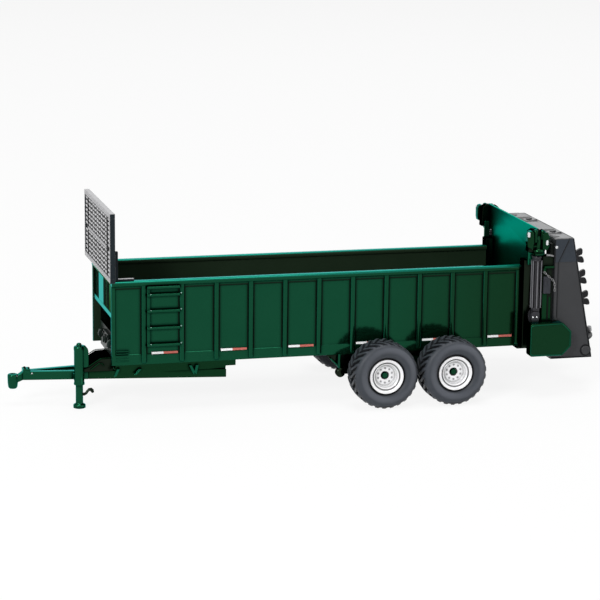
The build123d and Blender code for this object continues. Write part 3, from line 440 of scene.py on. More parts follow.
# Painted shade on the frame's narrow outer sides.
recoat(piece, side_shade_dark, lambda way, at: abs(way.y) > 0.9 and abs(at.y) > 22.5)
shape = bmesh.new()
block(shape, (front_x + 0.5, low.y + 1.0, low.z + 1.4), (rear_x - 0.5, high.y - 1.0, high.z - 1.4))
for y in (-stile_y, stile_y):
    block(shape, (front_x + 0.1, y - stile_w / 2, low.z + edge_w),
          (rear_x - 0.1, y + stile_w / 2, high.z - edge_w))
made("screen_sheet", shape, mesh_dark)

row_pitch, knot_slant, knot_share, knot_deep = 1.32, 0.16, 0.36, 0.42
knot_radii = (0.16, 0.38, 0.38, 0.16)
shape = bmesh.new()
for z0, z1 in ((low.z + edge_w, mid_z - mid_half), (mid_z + mid_half, high.z - edge_w)):
    rows = round((z1 - z0) / row_pitch)
    row_h = (z1 - z0) / rows
    for y0, y1, columns in ((-stile_y + stile_w / 2, stile_y - stile_w / 2, 9),
                            (low.y + side_w, -stile_y - stile_w / 2, 1),
                            (stile_y + stile_w / 2, high.y - side_w, 1)):
        pitch = (y1 - y0) / columns
        for row in range(rows):
            z = z0 + row_h * (row + 0.5)
            for n in range(columns):
                y = y0 + pitch * (n + 0.5)
                lift = knot_slant if n % 2 else -knot_slant
                reach = pitch * knot_share
                for x in (front_x + knot_deep, rear_x - knot_deep):
                    rod(shape, [(x, y - reach, z + lift), (x, y - reach * 0.5, z + lift * 0.6),
                                (x, y + reach * 0.5, z - lift * 0.6), (x, y + reach, z - lift)],
                        knot_radii, 6)
made("screen_mesh", shape, mesh_grey, sharp=70)
piece = eased("screen_brackets", side_shade_dark, 0.12)
# A painted highlight on the brackets' tops.
recoat(piece, frame_grey, lambda way, at: way.z > 0.9 and at.z < 45)

# ---------------------------------------- Ladder
# Five flat rungs and one stile cast on the left side sheet and painted with it. Four rungs have a
# small pale rivet on the stile and another on the next rib.
eased("ladder", green, 0.22, 3)
low, high = span("ladder")
rivet_x, rivet_zs = second_rib_x - 0.35, (38.2, 33.0, 27.5, 22.0)


def turned(shape, profile, centre, steps=96, about=None):
    """A turned body, from (distance along its axis, radius) pairs. The axis is Y unless about turns it."""
    about = about or Matrix.Identity(3)
    rings = []
    for along, r in profile:
        count = 1 if r < 1e-6 else steps
        rings.append([shape.verts.new(Vector(centre) + about @ Vector(
            (r * cos(2 * pi * k / steps), along, r * sin(2 * pi * k / steps)))) for k in range(count)])
    for a, b in zip(rings, rings[1:]):
        for k in range(steps):
            j = (k + 1) % steps
            corners = [a[k % len(a)], a[j % len(a)], b[j % len(b)], b[k % len(b)]]
            corners = [v for n, v in enumerate(corners) if v not in corners[:n]]
            if len(corners) > 2:
                shape.faces.new(corners)


shape = bmesh.new()
for z in rivet_zs:
    turned(shape, [(0.15, 0.24), (-0.08, 0.24), (-0.20, 0.16), (-0.24, 0)], (rivet_x, -18.65, z + 0.35), 16)
    turned(shape, [(0.15, 0.16), (-0.06, 0.16), (-0.12, 0)], (low.x + 1.25, low.y + 0.1, z + 0.3), 12)
rivet_green = finish_of("rivet_green", (0.22, 0.40, 0.34), (0.32, 0.52, 0.46), 0.3, metal=0.4)
made("ladder_rivets", shape, rivet_green)

# ---------------------------------------- Tongue and tow eye
# Two tapering beams that meet at a raised nose plate, with an upright eye for the drawbar pin. Two
# small rivets hold the plate and the eye.
paint_change = (-72.4, 0, 0)           # the beams are in the darker green from here to the rear, a painted shade under the box
for node in ("tongue_beam_left", "tongue_beam_right"):
    eased(node, green, 0.25, 3, [(paint_change, (1, 0, 0))])
    piece = eased(node, shaded_frame_green, 0.25, 3, [(paint_change, (-1, 0, 0))])
    piece.name = node + "_rear"
low, high = span("tow_eye")
hitch_x, upright = low.x + 1.7, Matrix.Rotation(pi / 2, 3, "X")
shape = bmesh.new()
turned(shape, [(10.3, 1.0), (10.25, 1.45), (10.0, 1.65), (9.6, 1.70), (7.4, 1.66), (6.2, 1.52), (5.8, 1.38),
               (5.55, 1.1), (5.5, 0.8), (10.3, 0.8), (10.3, 1.0)], (hitch_x, 0, 0), 32, upright)
web = [(hitch_x + 1.0, 7.4), (high.x + 0.3, 8.4), (high.x + 0.3, 11.15), (hitch_x + 2.3, 10.35),
       (hitch_x + 0.95, 9.5)]
bar(shape, "y", web, -1.1, 1.1)
made("tow_eye_casting", shape, green, bevel=0.14, sharp=40, replaced=["tow_eye"])
shape = bmesh.new()
low, high = span("tongue_beam_left")
nose_top = high.z
for x, y, r in ((low.x + 0.8, -1.0, 0.42), (low.x + 0.8, 1.0, 0.42), (low.x + 2.0, 0.0, 0.34)):
    turned(shape, [(nose_top - 0.15, r), (nose_top + 0.12, r), (nose_top + 0.30, r * 0.6),
                   (nose_top + 0.34, 0)], (x, y, 0), 16, upright)
made("nose_bolts", shape, deep_green_and_shade)
steel = finish_of("bright_steel", (0.62, 0.63, 0.64), (0.74, 0.75, 0.76), 0.25, metal=0.6, relief=0.002)
shape = bmesh.new()
for x, y, z in ((-95.0, 1.06, 9.75), (-90.2, 2.04, 10.6)):
    for out in (-1, 1):
        turned(shape, [(-out * 0.1, 0.24), (out * 0.1, 0.22), (out * 0.16, 0)], (x, out * y, z), 12)
made("nose_rivets", shape, steel)

# ---------------------------------------- Front hood and gearbox
# A dark sloped cover over the apron's front end with a stay on each side, and behind it the grey
# gearbox with its cross shaft and chain wheels.
low, high = span("front_hood")
shape = bmesh.new()
outline = [(low.x + 0.6, low.z), (low.x + 0.6, low.z + 0.7), (-72.3, 12.7), (-68.4, 15.2),
           (high.x, 15.4), (high.x, low.z)]
bar(shape, "y", outline, low.y, high.y)
made("front_hood_cover", shape, deep_green_and_shade, bevel=0.2, replaced=["front_hood"])
shape = bmesh.new()
for out in (-1, 1):
    rod(shape, [(-71.9, out * 6.3, 11.9), (-70.2, out * 6.4, 13.2), (-69.2, out * 6.4, 13.9),
                (-68.2, out * 6.4, 13.8), (-67.6, out * 6.35, 13.0)], 0.2, 8)
    rod(shape, [(-72.6, out * 6.1, 12.85), (-68.5, out * 6.1, 15.4)], 0.16, 8)
    rod(shape, [(-68.4, out * 6.1, 15.45), (high.x, out * 6.1, 15.55)], 0.14, 8)
made("hood_stays", shape, shaded_frame_green)
# The gearbox darkens near inner corners, a painted shade.
gear_grey = finish_of("gear_grey", (0.002, 0.005, 0.004), (0.026, 0.042, 0.036), 0.30, cloud=0.8, grain=1.0,
                      relief=0.10, specular=0.08, corner=1.5, depth=3.0)
low, high = span("gearbox")
middle_z, gear_x = 20.4, high.x
shape = bmesh.new()
block(shape, (gear_x - 1.3, -4.3, middle_z - 2.4), (gear_x, 4.3, middle_z + 2.2))
block(shape, (gear_x - 0.25, -15.6, 15.2), (gear_x, 15.6, 23.2))
turned(shape, [(-13.4, 0), (-13.4, 0.62), (-12.6, 0.62), (-12.6, 0.42), (12.0, 0.42), (12.0, 0.62),
               (12.8, 0.62), (12.8, 0)], (gear_x - 0.8, 0, middle_z), 16)
for middle in (-8.0, 8.0):
    turned(shape, [(-0.6, 0), (-0.6, 0.9), (-0.45, 1.5), (0.45, 1.5), (0.6, 0.9), (0.6, 0)],
           (gear_x - 0.9, middle, middle_z), 14)
for middle, r in ((-11.6, 0.9), (-6.2, 0.75), (6.2, 0.75), (11.0, 0.9)):
    turned(shape, [(-0.5, 0), (-0.5, r), (0.5, r), (0.5, 0)], (gear_x - 0.8, middle, middle_z), 8)
sideways = Matrix.Rotation(pi / 2, 3, "Z")
turned(shape, [(0, 1.5), (0.5, 1.45), (0.6, 1.0), (1.1, 0.9), (1.2, 0)], (gear_x - 1.3, 0, middle_z), 24,
       sideways)
for y in (-3.4, 3.4):
    for z in (middle_z - 1.6, middle_z + 1.5):
        turned(shape, [(0, 0.42), (0.35, 0.42), (0.4, 0)], (gear_x - 1.3, y, z), 6, sideways)
rod(shape, [(gear_x - 0.9, -12.2, middle_z - 2.4), (gear_x - 1.2, -10.0, middle_z - 1.2),
            (gear_x - 1.0, -5.0, middle_z - 1.9)], 0.3, 8)
made("gearbox_casting", shape, gear_grey, bevel=0.18, replaced=["gearbox"])

# ---------------------------------------- Jack
# A green tube with a collar, a rounded cap and a gear case behind it, and a sliding leg on a cast
# foot with a bent handle at its side.
low, high = span("jack_tube")
jack_x, jack_y = -75.9, -8.0
shape = bmesh.new()
turned(shape, [(7.6, 1.25), (7.6, 1.64), (7.75, 1.74), (8.3, 1.74), (8.5, 1.64), (18.9, 1.64), (19.3, 1.72),
               (20.0, 1.70), (20.3, 1.5), (20.4, 0.95), (20.7, 0.88), (21.1, 0.75), (21.3, 0.4), (21.3, 0),
               ], (jack_x, jack_y, 0), 48, upright)
turned(shape, [(7.6, 1.25), (18.4, 1.25), (18.4, 0)], (jack_x, jack_y, 0), 24, upright)
case = [(jack_x, 13.4), (high.x - 0.6, 13.4), (high.x - 0.15, 13.7), (high.x, 14.3), (high.x, 18.6),
        (high.x - 0.2, 19.5), (high.x - 0.8, 20.2), (high.x - 1.7, 20.5), (jack_x, 20.5)]
bar(shape, "y", case, jack_y - 1.0, jack_y + 1.0)
arm_z, arm_end_y = 8.775, -3.95        # the arm that holds the jack to the left tongue beam
block(shape, (jack_x - 1.5, jack_y, arm_z), (jack_x + 1.5, arm_end_y, arm_z + 2.0))
made("jack_tube_casting", shape, green, bevel=0.14, sharp=40, replaced=["jack_tube"])
shape = bmesh.new()
turned(shape, [(0, 0), (0, 1.7), (0.15, 1.98), (1.0, 2.0), (1.25, 1.85), (1.5, 1.35), (1.7, 1.22), (2.1, 1.2),
               (16.7, 1.15), (16.7, 0)], (jack_x, jack_y, 0), 32, upright)
made("jack_leg_casting", shape, green, "jack_leg", sharp=40, replaced=["jack_leg"])
shape = bmesh.new()
handle = [(0.3, 4.55), (1.5, 4.5), (2.1, 4.75), (2.55, 5.4), (3.05, 5.9), (3.6, 5.95), (4.05, 5.6),
          (4.35, 4.9)]
rod(shape, [(jack_x + x, jack_y - 0.35, z) for x, z in handle],
    (0.45, 0.50, 0.45, 0.42, 0.50, 0.58, 0.60, 0.40), 12)
made("jack_handle", shape, deep_green_and_shade, "jack_leg", sharp=50, replaced=["jack_pin"])

# ---------------------------------------- Wheels
# Soft dark grey tyres with tractor lugs set in a herringbone, pressed on silver plastic rims with
# ten dark nuts round an open hub.
# The tyres get a painted sheen on their sides and painted shade in their inner corners, and the rims painted
# shade in their recesses.
rubber = finish_of("rubber", (0.034, 0.039, 0.047), (0.052, 0.058, 0.069), 0.46, cloud=3.0, grain=0.3,
                   relief=0.012, specular=0.2, corner=1.4, depth=2.6, painted_sheen=(0.085, 0.092, 0.108))
silver = finish_of("silver_rim", (0.83, 0.83, 0.84), (0.89, 0.89, 0.90), 0.30, cloud=3.0, metal=0.2,
                   corner=0.55, depth=2.2)
nut_grey = finish_of("nut_grey", (0.22, 0.22, 0.23), (0.34, 0.34, 0.35), 0.4, metal=0.3)

carcass = (                            # (distance from the mid plane, radius), outer bead to shoulder
    (4.00, 5.62), (4.00, 5.90), (4.45, 5.98), (4.80, 6.20), (5.06, 6.55), (5.28, 7.05), (5.43, 7.60),
    (5.50, 8.15), (5.46, 8.70), (5.34, 9.20), (5.13, 9.68), (4.84, 10.04), (4.45, 10.28),
    (3.8, 10.36), (3.0, 10.16), (2.0, 10.0), (1.0, 10.0),
)
rim_face = (                           # (depth from the outer face, radius), flange to hub
    (0.9, 5.52), (0.3, 5.60), (0.05, 5.52), (0.0, 5.32), (0.05, 5.12), (0.28, 4.82), (0.48, 4.62),
    (0.92, 4.55), (0.98, 4.36), (0.72, 4.28), (0.64, 4.16), (0.70, 4.00), (0.95, 3.82), (1.60, 3.76),
    (1.65, 3.62), (2.30, 3.50), (2.52, 3.36), (2.56, 3.20), (2.46, 3.06), (2.42, 1.55), (2.52, 1.40),
    (4.6, 1.34), (4.6, 1.02),
)
nut_circle, nut_count = 2.40, 10
lug_count, lug_turn, lug_steps = 26, radians(-16), 8
lug_start, lug_reach, lug_end = 0.1, 4.6, (5.10, 9.72, 9.3)      # the end is pulled down on the shoulder
for row in ("front", "rear"):
    for side, out in sides:
        body = f"wheel_{row}_{side}"
        low, high = span(f"tyre_{row}_{side}")
        centre = (low + high) / 2
        wheel_r = (high.z - low.z) / 2
        shape = bmesh.new()
        profile = [(-d, r) for d, r in carcass] + [(d, r) for d, r in reversed(carcass)]
        turned(shape, profile + profile[:1], centre)
        for half in (-1, 1):
            for n in range(lug_count):
                start = 2 * pi * (n + (0.25 if half > 0 else -0.25)) / lug_count
                rings = []
                for k in range(lug_steps + 1):
                    t = k / lug_steps
                    y = lug_start + lug_reach * t
                    turn = start + lug_turn * t ** 1.2
                    top = wheel_r - 0.03 - 0.28 * max(0, t - 0.5) ** 2 / 0.25
                    base = 9.8 - 0.3 * t
                    half_top, half_base = 0.40 + 0.16 * t, 0.58 + 0.24 * t
                    if k == lug_steps:
                        y, top, base = lug_end
                    ring = []
                    for r, w in ((base, -half_base), (top, -half_top), (top, half_top), (base, half_base)):
                        a = turn + w / r
                        ring.append(centre + Vector((r * sin(a), half * y, -r * cos(a))))
                    rings.append(ring)
                skin(shape, rings)
        made(f"tyre_{row}_{side}_rubber", shape, rubber, body, 0.08, 1, 40,
             replaced=[f"tyre_{row}_{side}"])

        centre, face = middle_of(f"rim_{row}_{side}")
        shape = bmesh.new()
        profile = [(face - depth, r) for depth, r in rim_face]
        profile += [(-face + 1.0, 1.02), (-face + 0.8, 5.3), (-face, 5.35), (-face, 5.56),
                    (-face + 0.9, 5.56), (-face + 0.95, 5.12), (face - 0.95, 5.12), (face - 0.9, 5.52)]
        turned(shape, facing(out, profile), centre)
        made(f"rim_{row}_{side}_silver", shape, silver, body, sharp=50,
             replaced=[f"rim_{row}_{side}"])
        shape = bmesh.new()
        for n in range(nut_count):
            a = 2 * pi * (n + 0.5) / nut_count
            spot = centre + Vector((nut_circle * cos(a), 0, nut_circle * sin(a)))
            nut = [(face - 2.6, 0.27), (face - 2.30, 0.27), (face - 2.24, 0.18), (face - 2.24, 0)]
            turned(shape, facing(out, nut), spot, 6)
        made(f"rim_{row}_{side}_nuts", shape, nut_grey, body)

# ---------------------------------------- Bogies
# A walking beam between each pair of wheels on green stub axles, and the hangers under the box. A
# lever with a rounded foot stands ahead of the front wheels.


def plain(node, finish):
    """A CAD piece whose shape is right as it is gets the better finish."""
    data = frame["nodes"][node].data
    data.materials.clear()
    data.materials.append(finish)


hanger_rear_x = 52.5
for side, out in sides:
    plain(f"walking_beam_{side}", green)
    eased(f"hanger_{side}", deep_green_and_shade, cuts=[((hanger_rear_x, 0, 0), (1, 0, 0))])
    shape = bmesh.new()
    for row in ("front", "rear"):
        centre, face = middle_of(f"rim_{row}_{side}")
        stub = [(face - 3.4, 0), (face - 3.4, 0.95), (face - 2.5, 0.95), (face - 2.28, 0.80),
                (face - 2.22, 0)]
        turned(shape, facing(out, stub), centre, 32)
    made(f"stub_ends_{side}", shape, green)
    shape = bmesh.new()
    lever_y = out * 19.6
    rod(shape, [(7.1, lever_y, 16.2), (7.0, lever_y, 13.6), (7.1, lever_y, 11.6), (7.4, lever_y, 10.4)],
        (0.55, 0.5, 0.55, 0.5), 12)
    rod(shape, [(4.3, out * 18.6, 14.6), (6.6, lever_y, 12.3)], 0.22, 8)
    made(f"lever_{side}", shape, green)
    shape = bmesh.new()
    foot = [(18.4, 0), (18.4, 1.2), (18.8, 1.55), (20.2, 1.55), (20.6, 1.2), (20.6, 0)]
    turned(shape, facing(out, foot), (7.3, 0, 10.2), 28)
    made(f"lever_foot_{side}", shape, deep_green_and_shade, sharp=50)
plain("bogie_cross_tube", deep_green_and_shade)

# ---------------------------------------- Rear posts and sill
# Square posts that guide the gate, in the darkest copy of the enamel, a painted shade, with the
# columns behind them and the sill below. On the left column hang a chain, a grey block and the
# cylinder's fittings.
post_foot_z, sill_foot_z = 15.4, 14.2
column_out = 24.06                     # the columns' outer face, with the paint on it
for node in ("rear_post_left", "rear_post_right"):
    eased(node, deep_green_and_shade, cuts=[((0, 0, post_foot_z), (0, 0, -1))])
eased("rear_sill", deep_green_and_shade, cuts=[((0, 0, sill_foot_z), (0, 0, -1))])
shape = bmesh.new()
for out in (-1, 1):
    block(shape, (74.2, out * 23.8, 25.0), (75.75, out * 24.1, 34.4))
    block(shape, (76.4, out * 23.8, 25.0), (77.1, out * column_out, 33.0))
made("column_strips", shape, shaded_frame_green, bevel=0.1)
# Black strips on the columns, a painted shade for their grooves.
shape = bmesh.new()
for out in (-1, 1):
    for x0, x1 in ((75.9, 76.25), (77.2, 77.75)):
        block(shape, (x0, out * 23.7, 25.2), (x1, out * column_out, 42.6))
    block(shape, (76.6, out * 19.9, 43.0), (77.8, out * 23.9, 50.6))
slot_shade_black = finish_of("slot_shade_black", (0.004, 0.006, 0.005), (0.008, 0.010, 0.009), 0.5, specular=0.06)
made("column_shade_strips", shape, slot_shade_black)
shape = bmesh.new()
block(shape, (74.3, -25.1, 42.7), (77.7, -23.6, 43.5))
block(shape, (74.1, -24.9, 40.9), (75.0, -23.8, 42.9))
made("column_bracket", shape, shaded_frame_green, bevel=0.2)
# The block darkens near inner corners, a painted shade.
block_grey = finish_of("block_grey", (0.020, 0.022, 0.027), (0.034, 0.037, 0.045), 0.4, cloud=2.0,
                       specular=0.2, corner=0.8)
shape = bmesh.new()
block(shape, (74.3, -24.7, 34.2), (76.8, -23.7, 40.0))
block(shape, (74.5, -24.95, 36.9), (75.4, -24.5, 38.9))
made("column_block", shape, block_grey, bevel=0.25)
shape = bmesh.new()
rod(shape, [(75.2, -24.0, 46.95), (76.2, -24.15, 46.9), (77.6, -24.1, 46.6)], (0.32, 0.36, 0.30), 10)
route = [Vector(p) for p in (          # the chain's path, a link to each step
    (74.3, -24.9, 41.6), (74.9, -25.0, 40.9), (75.6, -25.0, 40.3), (76.3, -24.9, 39.7),
    (77.0, -24.9, 39.1), (77.6, -24.9, 38.5), (78.0, -24.9, 37.7), (78.1, -24.8, 36.8),
    (78.15, -24.75, 35.9), (78.2, -24.7, 35.0))]
link_half, link_half_w, link_wire = 0.62, 0.26, 0.10
turns = [2 * pi * k / 14 for k in range(14)]
for n, (a, b) in enumerate(zip(route, route[1:])):
    along = (b - a).normalized()
    across = Vector((0, 1, 0)) if n % 2 else along.cross(Vector((0, 1, 0)))
    link = [(a + b) / 2 + along * link_half * cos(t) + across * link_half_w * sin(t) for t in turns]
    rod(shape, link, link_wire, 6, closed=True)
# The chain darkens near inner corners, a painted shade.
chain_grey = finish_of("chain_grey", (0.16, 0.16, 0.165), (0.26, 0.26, 0.265), 0.3, metal=0.3, corner=0.5)
made("column_chain", shape, chain_grey)

# ---------------------------------------- Gate and cylinders
# A green gate plate between two cast heads, each an upright bracket with two ears, a pin through
# each ear and a grooved collar over its cylinder. The cylinders are dark with pale tie rods, whose
# pale colour also stands for a painted highlight along each cylinder.
# The plate is in a lighter copy of the enamel, a painted highlight, and darkens far into the box's corners, a
# painted shade.
lit_gate_green = finish_of("gate_green_enamel", (0.0110, 0.160, 0.103), (0.0120, 0.170, 0.112), 0.30, wander=0.03,
                       metal=1.0, tint=(0.30, 0.90, 0.80), corner=12.0, depth=3.0)
# The cylinders darken near inner corners, a painted shade.
ram_black = finish_of("ram_black", (0.022, 0.022, 0.026), (0.032, 0.032, 0.038), 0.24, specular=0.22,
                      corner=1.0, depth=3.0)
rod_grey = finish_of("rod_grey", (0.10, 0.10, 0.11), (0.16, 0.16, 0.175), 0.3, specular=0.4)
eased("gate_plate", lit_gate_green, 0.15)
plate_front, plate_rear = 71.38, 72.22           # the heads' inner webs stay clear of the plate
for side, out in sides:
    low, high = span(f"gate_head_{side}")
    near, far, outer_y = out * 22.0, out * 26.6, out * 24.2
    shape = bmesh.new()
    web = [(low.x + 0.9, low.z + 1.2), (high.x - 0.9, low.z + 1.0), (high.x - 0.4, high.z - 1.4),
           (high.x - 1.3, high.z - 0.5), (high.x - 2.6, high.z - 1.1), (high.x - 3.6, high.z - 0.2),
           (low.x + 2.4, high.z - 0.1), (low.x + 1.2, high.z - 0.9)]
    bar(shape, "y", [(min(x, plate_front), z) for x, z in web], near, near + out * 2.1)
    bar(shape, "y", [(max(x, plate_rear), z) for x, z in web], near, near + out * 2.1)
    bar(shape, "y", web, out * 24.02, out * 24.9)
    made(f"gate_head_{side}_web", shape, deep_green_and_shade, body="gate", bevel=0.16,
         replaced=[f"gate_head_{side}"])
    shape = bmesh.new()
    front_ear = [(low.x + 0.25, 50.2), (low.x + 1.9, 49.4), (low.x + 2.3, 51.8), (low.x + 2.2, 54.9),
                 (low.x + 1.5, 55.5), (low.x + 0.5, 55.3), (low.x, 54.2), (low.x, 51.4)]
    rear_ear = [(high.x - 2.2, 49.3), (high.x - 0.6, 49.0), (high.x, 50.2), (high.x, 53.4),
                (high.x - 0.5, 54.7), (high.x - 1.5, 55.1), (high.x - 2.3, 54.3)]
    bar(shape, "y", front_ear, outer_y, far - out * 0.25)
    bar(shape, "y", rear_ear, outer_y, far - out * 0.2)
    for x, foot, top, r in ((70.7, 51.6, 55.9, 0.75), (73.1, 52.4, 55.6, 0.62)):
        turned(shape, [(foot, 0), (foot, r * 0.9), (foot + 0.4, r), (top - 0.5, r), (top - 0.1, r * 0.7),
                       (top, 0)], (x, out * 25.4, 0), 20, upright)
    turned(shape, [(48.6, 0), (48.6, 1.0), (53.2, 0.95), (53.7, 0.6), (53.8, 0)], (71.9, out * 24.9, 0), 24,
           upright)
    block(shape, (low.x + 1.4, outer_y, 49.9), (high.x - 1.4, out * 25.5, 50.6))
    made(f"gate_head_{side}_ears", shape, green, "gate", 0.2, 3, 40)
    shape = bmesh.new()
    block(shape, (69.5, out * 21.45, 43.6), (71.2, out * 22.3, 50.2))
    made(f"gate_head_{side}_guide", shape, lit_green, "gate", 0.15)
    shape = bmesh.new()
    grooved = ((0, 0.9), (0, 1.75), (0.25, 2.15), (0.8, 2.25), (1.0, 1.95), (1.25, 1.95), (1.45, 2.2),
               (2.0, 2.1), (2.3, 1.7), (2.3, 0))           # (height over the head's foot, radius)
    turned(shape, [(low.z + h, r) for h, r in grooved], (72.2, out * 24.3, 0), 40, upright)
    made(f"gate_head_{side}_collar", shape, green, "gate", sharp=50)
    shape = bmesh.new()
    for x, z in ((low.x + 0.45, 54.3), (high.x - 0.75, 51.5)):
        turned(shape, [(z - 0.85, 0), (z - 0.82, 0.3), (z - 0.6, 0.46), (z + 0.6, 0.46), (z + 0.82, 0.3),
                       (z + 0.85, 0)], (x, far - out * 0.35, 0), 20, upright)
    made(f"gate_head_{side}_pins", shape, steel, "gate")

    plain(f"gate_rod_{side}", steel)
    ram_x, ram_y = 72.2, out * 23.25
    shape = bmesh.new()
    turned(shape, [(27.6, 0), (27.6, 1.3), (27.9, 1.45), (29.5, 1.5), (29.7, 1.45), (29.8, 1.20),
                   (44.9, 1.20), (45.1, 1.66), (45.5, 1.7), (45.7, 1.5), (45.9, 1.5), (46.1, 1.7),
                   (46.7, 1.66), (46.9, 1.4), (46.9, 0.98), (29.4, 0.98), (29.4, 0)],
           (ram_x, ram_y, 0), 40, upright)
    clevis = [(ram_x - 1.2, 28.4), (ram_x - 1.75, 27.9), (ram_x - 1.95, 26.6), (ram_x - 1.8, 25.2),
              (ram_x - 1.3, 24.5), (ram_x - 0.5, 24.3), (ram_x + 0.3, 24.6), (ram_x + 0.7, 25.2),
              (ram_x + 0.9, 26.6), (ram_x + 0.85, 27.9), (ram_x + 0.6, 28.4)]
    for y0, y1 in ((out * 21.3, out * 22.6), (out * 23.6, out * 25.0)):
        bar(shape, "y", clevis, y0, y1)
    block(shape, (ram_x - 1.0, out * 22.4, 26.2), (ram_x + 0.6, out * 23.8, 28.2))
    made(f"cylinder_{side}_body", shape, ram_black, bevel=0.1, sharp=50,
         replaced=[f"cylinder_{side}"])
    shape = bmesh.new()
    for x, y in ((-1.42, 0.75), (-0.15, 1.45), (1.42, 0.75), (-1.42, -0.75), (1.42, -0.75)):
        rod(shape, [(ram_x + x, ram_y + out * y, 29.5), (ram_x + x, ram_y + out * y, 45.3)], 0.22, 8)
    made(f"cylinder_{side}_tie_rods", shape, rod_grey)
    shape = bmesh.new()
    for x in (70.9, 72.2):
        turned(shape, facing(out, [(24.8, 0.3), (25.1, 0.28), (25.2, 0.15), (25.2, 0)]), (x, 0, 26.6), 16)
    made(f"cylinder_{side}_pins", shape, steel)

# ---------------------------------------- Beater housing
# Charcoal moulded side plates with a dark rolled edge, a top beam and a pan that carry the two
# leaning beaters, and a green drive cover on each side with nothing printed on it.
# The housing's finishes darken near inner corners, a painted shade.
charcoal = finish_of("charcoal_plastic", (0.020, 0.021, 0.0235), (0.029, 0.030, 0.033), 0.42, grain=0.4,
                     specular=0.35, corner=1.0, depth=1.5)
edge_black = finish_of("edge_black", (0.006, 0.0065, 0.008), (0.011, 0.012, 0.014), 0.38, specular=0.12)
upper_dark = finish_of("upper_dark", (0.015, 0.021, 0.030), (0.021, 0.028, 0.038), 0.36, specular=0.32,
                       corner=1.0)
# A darker copy of the enamel, a painted shade.
painted_shade_green = finish_of("shade_green_enamel", (0.0065, 0.036, 0.0145), (0.0075, 0.042, 0.018), 0.16,
                        wander=0.03, metal=1.0, tint=(0.05, 0.22, 0.12), corner=1.0)
boss_at = (89.9, 0, 14.5)
for side, out in sides:
    eased(f"housing_side_{side}", charcoal, 0.22, 3)
    piece = eased(f"drive_cover_{side}", green, 0.45, 4)
    # Painted shade on the cover's forward faces.
    recoat(piece, painted_shade_green, lambda way, at: way.x < -0.3)
    # A light rod round the cover's outer face, a painted highlight along its edge.
    outer = max((f for f in piece.data.polygons if f.normal.y * out > 0.9), key=lambda f: f.area)
    middle = outer.center * 1000
    border = []
    for corner in outer.vertices:
        point = piece.data.vertices[corner].co * 1000
        border.append(point - (point - middle).normalized() * 0.6 + Vector((0, -out * 0.04, 0)))
    shape = bmesh.new()
    rod(shape, border, 0.12, 8, closed=True)
    made(f"drive_cover_{side}_edge", shape, lit_green)
    low, high = span(f"housing_side_{side}")
    shape = bmesh.new()
    edge_y = out * 24.02
    rod(shape, [(84.45, edge_y, 51.8), (91.85, edge_y, 12.6)], 0.22, 8)
    rod(shape, [(91.7, edge_y, 12.25), (low.x + 0.2, edge_y, 12.25)], 0.2, 8)
    rod(shape, [(79.25, out * 24.3, 26.0), (79.25, out * 24.3, 44.5), (82.8, out * 24.3, 51.9)], 0.16, 8)
    rod(shape, [(low.x + 0.15, out * 24.35, 25.3), (low.x + 0.15, out * 24.35, 51.9)], 0.2, 8)
    lip = [(23.9, 1.95), (24.12, 1.9), (24.14, 1.62), (24.0, 1.6), (23.9, 1.95)]
    turned(shape, facing(out, lip), boss_at, 36)
    made(f"housing_edge_{side}", shape, edge_black, sharp=50)
    shape = bmesh.new()
    boss = [(24.3, 1.5), (24.42, 1.42), (24.5, 1.1), (24.42, 0.85), (24.45, 0.3), (24.5, 0)]
    turned(shape, facing(out, boss), boss_at, 32)
    made(f"housing_boss_{side}", shape, charcoal, sharp=50)
    shape = bmesh.new()
    panel = [(79.4, 44.4), (86.0, 44.4), (84.55, 52.0), (83.0, 52.0)]
    bar(shape, "y", panel, out * 23.9, out * 24.12)
    gusset = [(low.x + 0.4, 44.4), (79.1, 44.4), (82.7, 52.0), (low.x + 0.4, 52.0)]
    bar(shape, "y", gusset, out * 24.3, out * 24.48)
    made(f"housing_upper_{side}", shape, upper_dark, bevel=0.08)
    shape = bmesh.new()
    turned(shape, facing(out, [(24.3, 0.5), (24.5, 0.46), (24.56, 0.2), (24.56, 0)]), (78.5, 0, 49.5), 16)
    made(f"housing_screw_{side}", shape, steel)
# The top beam darkens near inner corners, a painted shade.
beam_grey = finish_of("beam_grey", (0.060, 0.062, 0.066), (0.17, 0.172, 0.178), 0.34, cloud=1.6, corner=1.0)
plain("top_beam", beam_grey)
plain("pan", charcoal)
beater_y, beam_z = 11.6, 52.0
# Black plates on the top beam, a painted shade for its openings.
shape = bmesh.new()
for y in (-beater_y, beater_y):
    for y0, y1 in ((y - 4.4, y - 2.2), (y + 2.2, y + 4.4)):
        block(shape, (79.4, y0, beam_z), (83.6, y1, beam_z + 0.26))
    block(shape, (78.6, y - 4.4, beam_z), (79.9, y + 4.4, beam_z + 0.27))
for x in (78.35, 84.2):
    block(shape, (x, -22.6, beam_z), (x + 0.3, 22.6, beam_z + 0.24))
for out in (-1, 1):
    skin(shape, [[(78.3, out * 22.4, z), (80.9, out * 20.4, z), (78.6, out * 17.0, z)]
                 for z in (beam_z, beam_z + 0.28)])
made("top_beam_shade_plates", shape, edge_black)

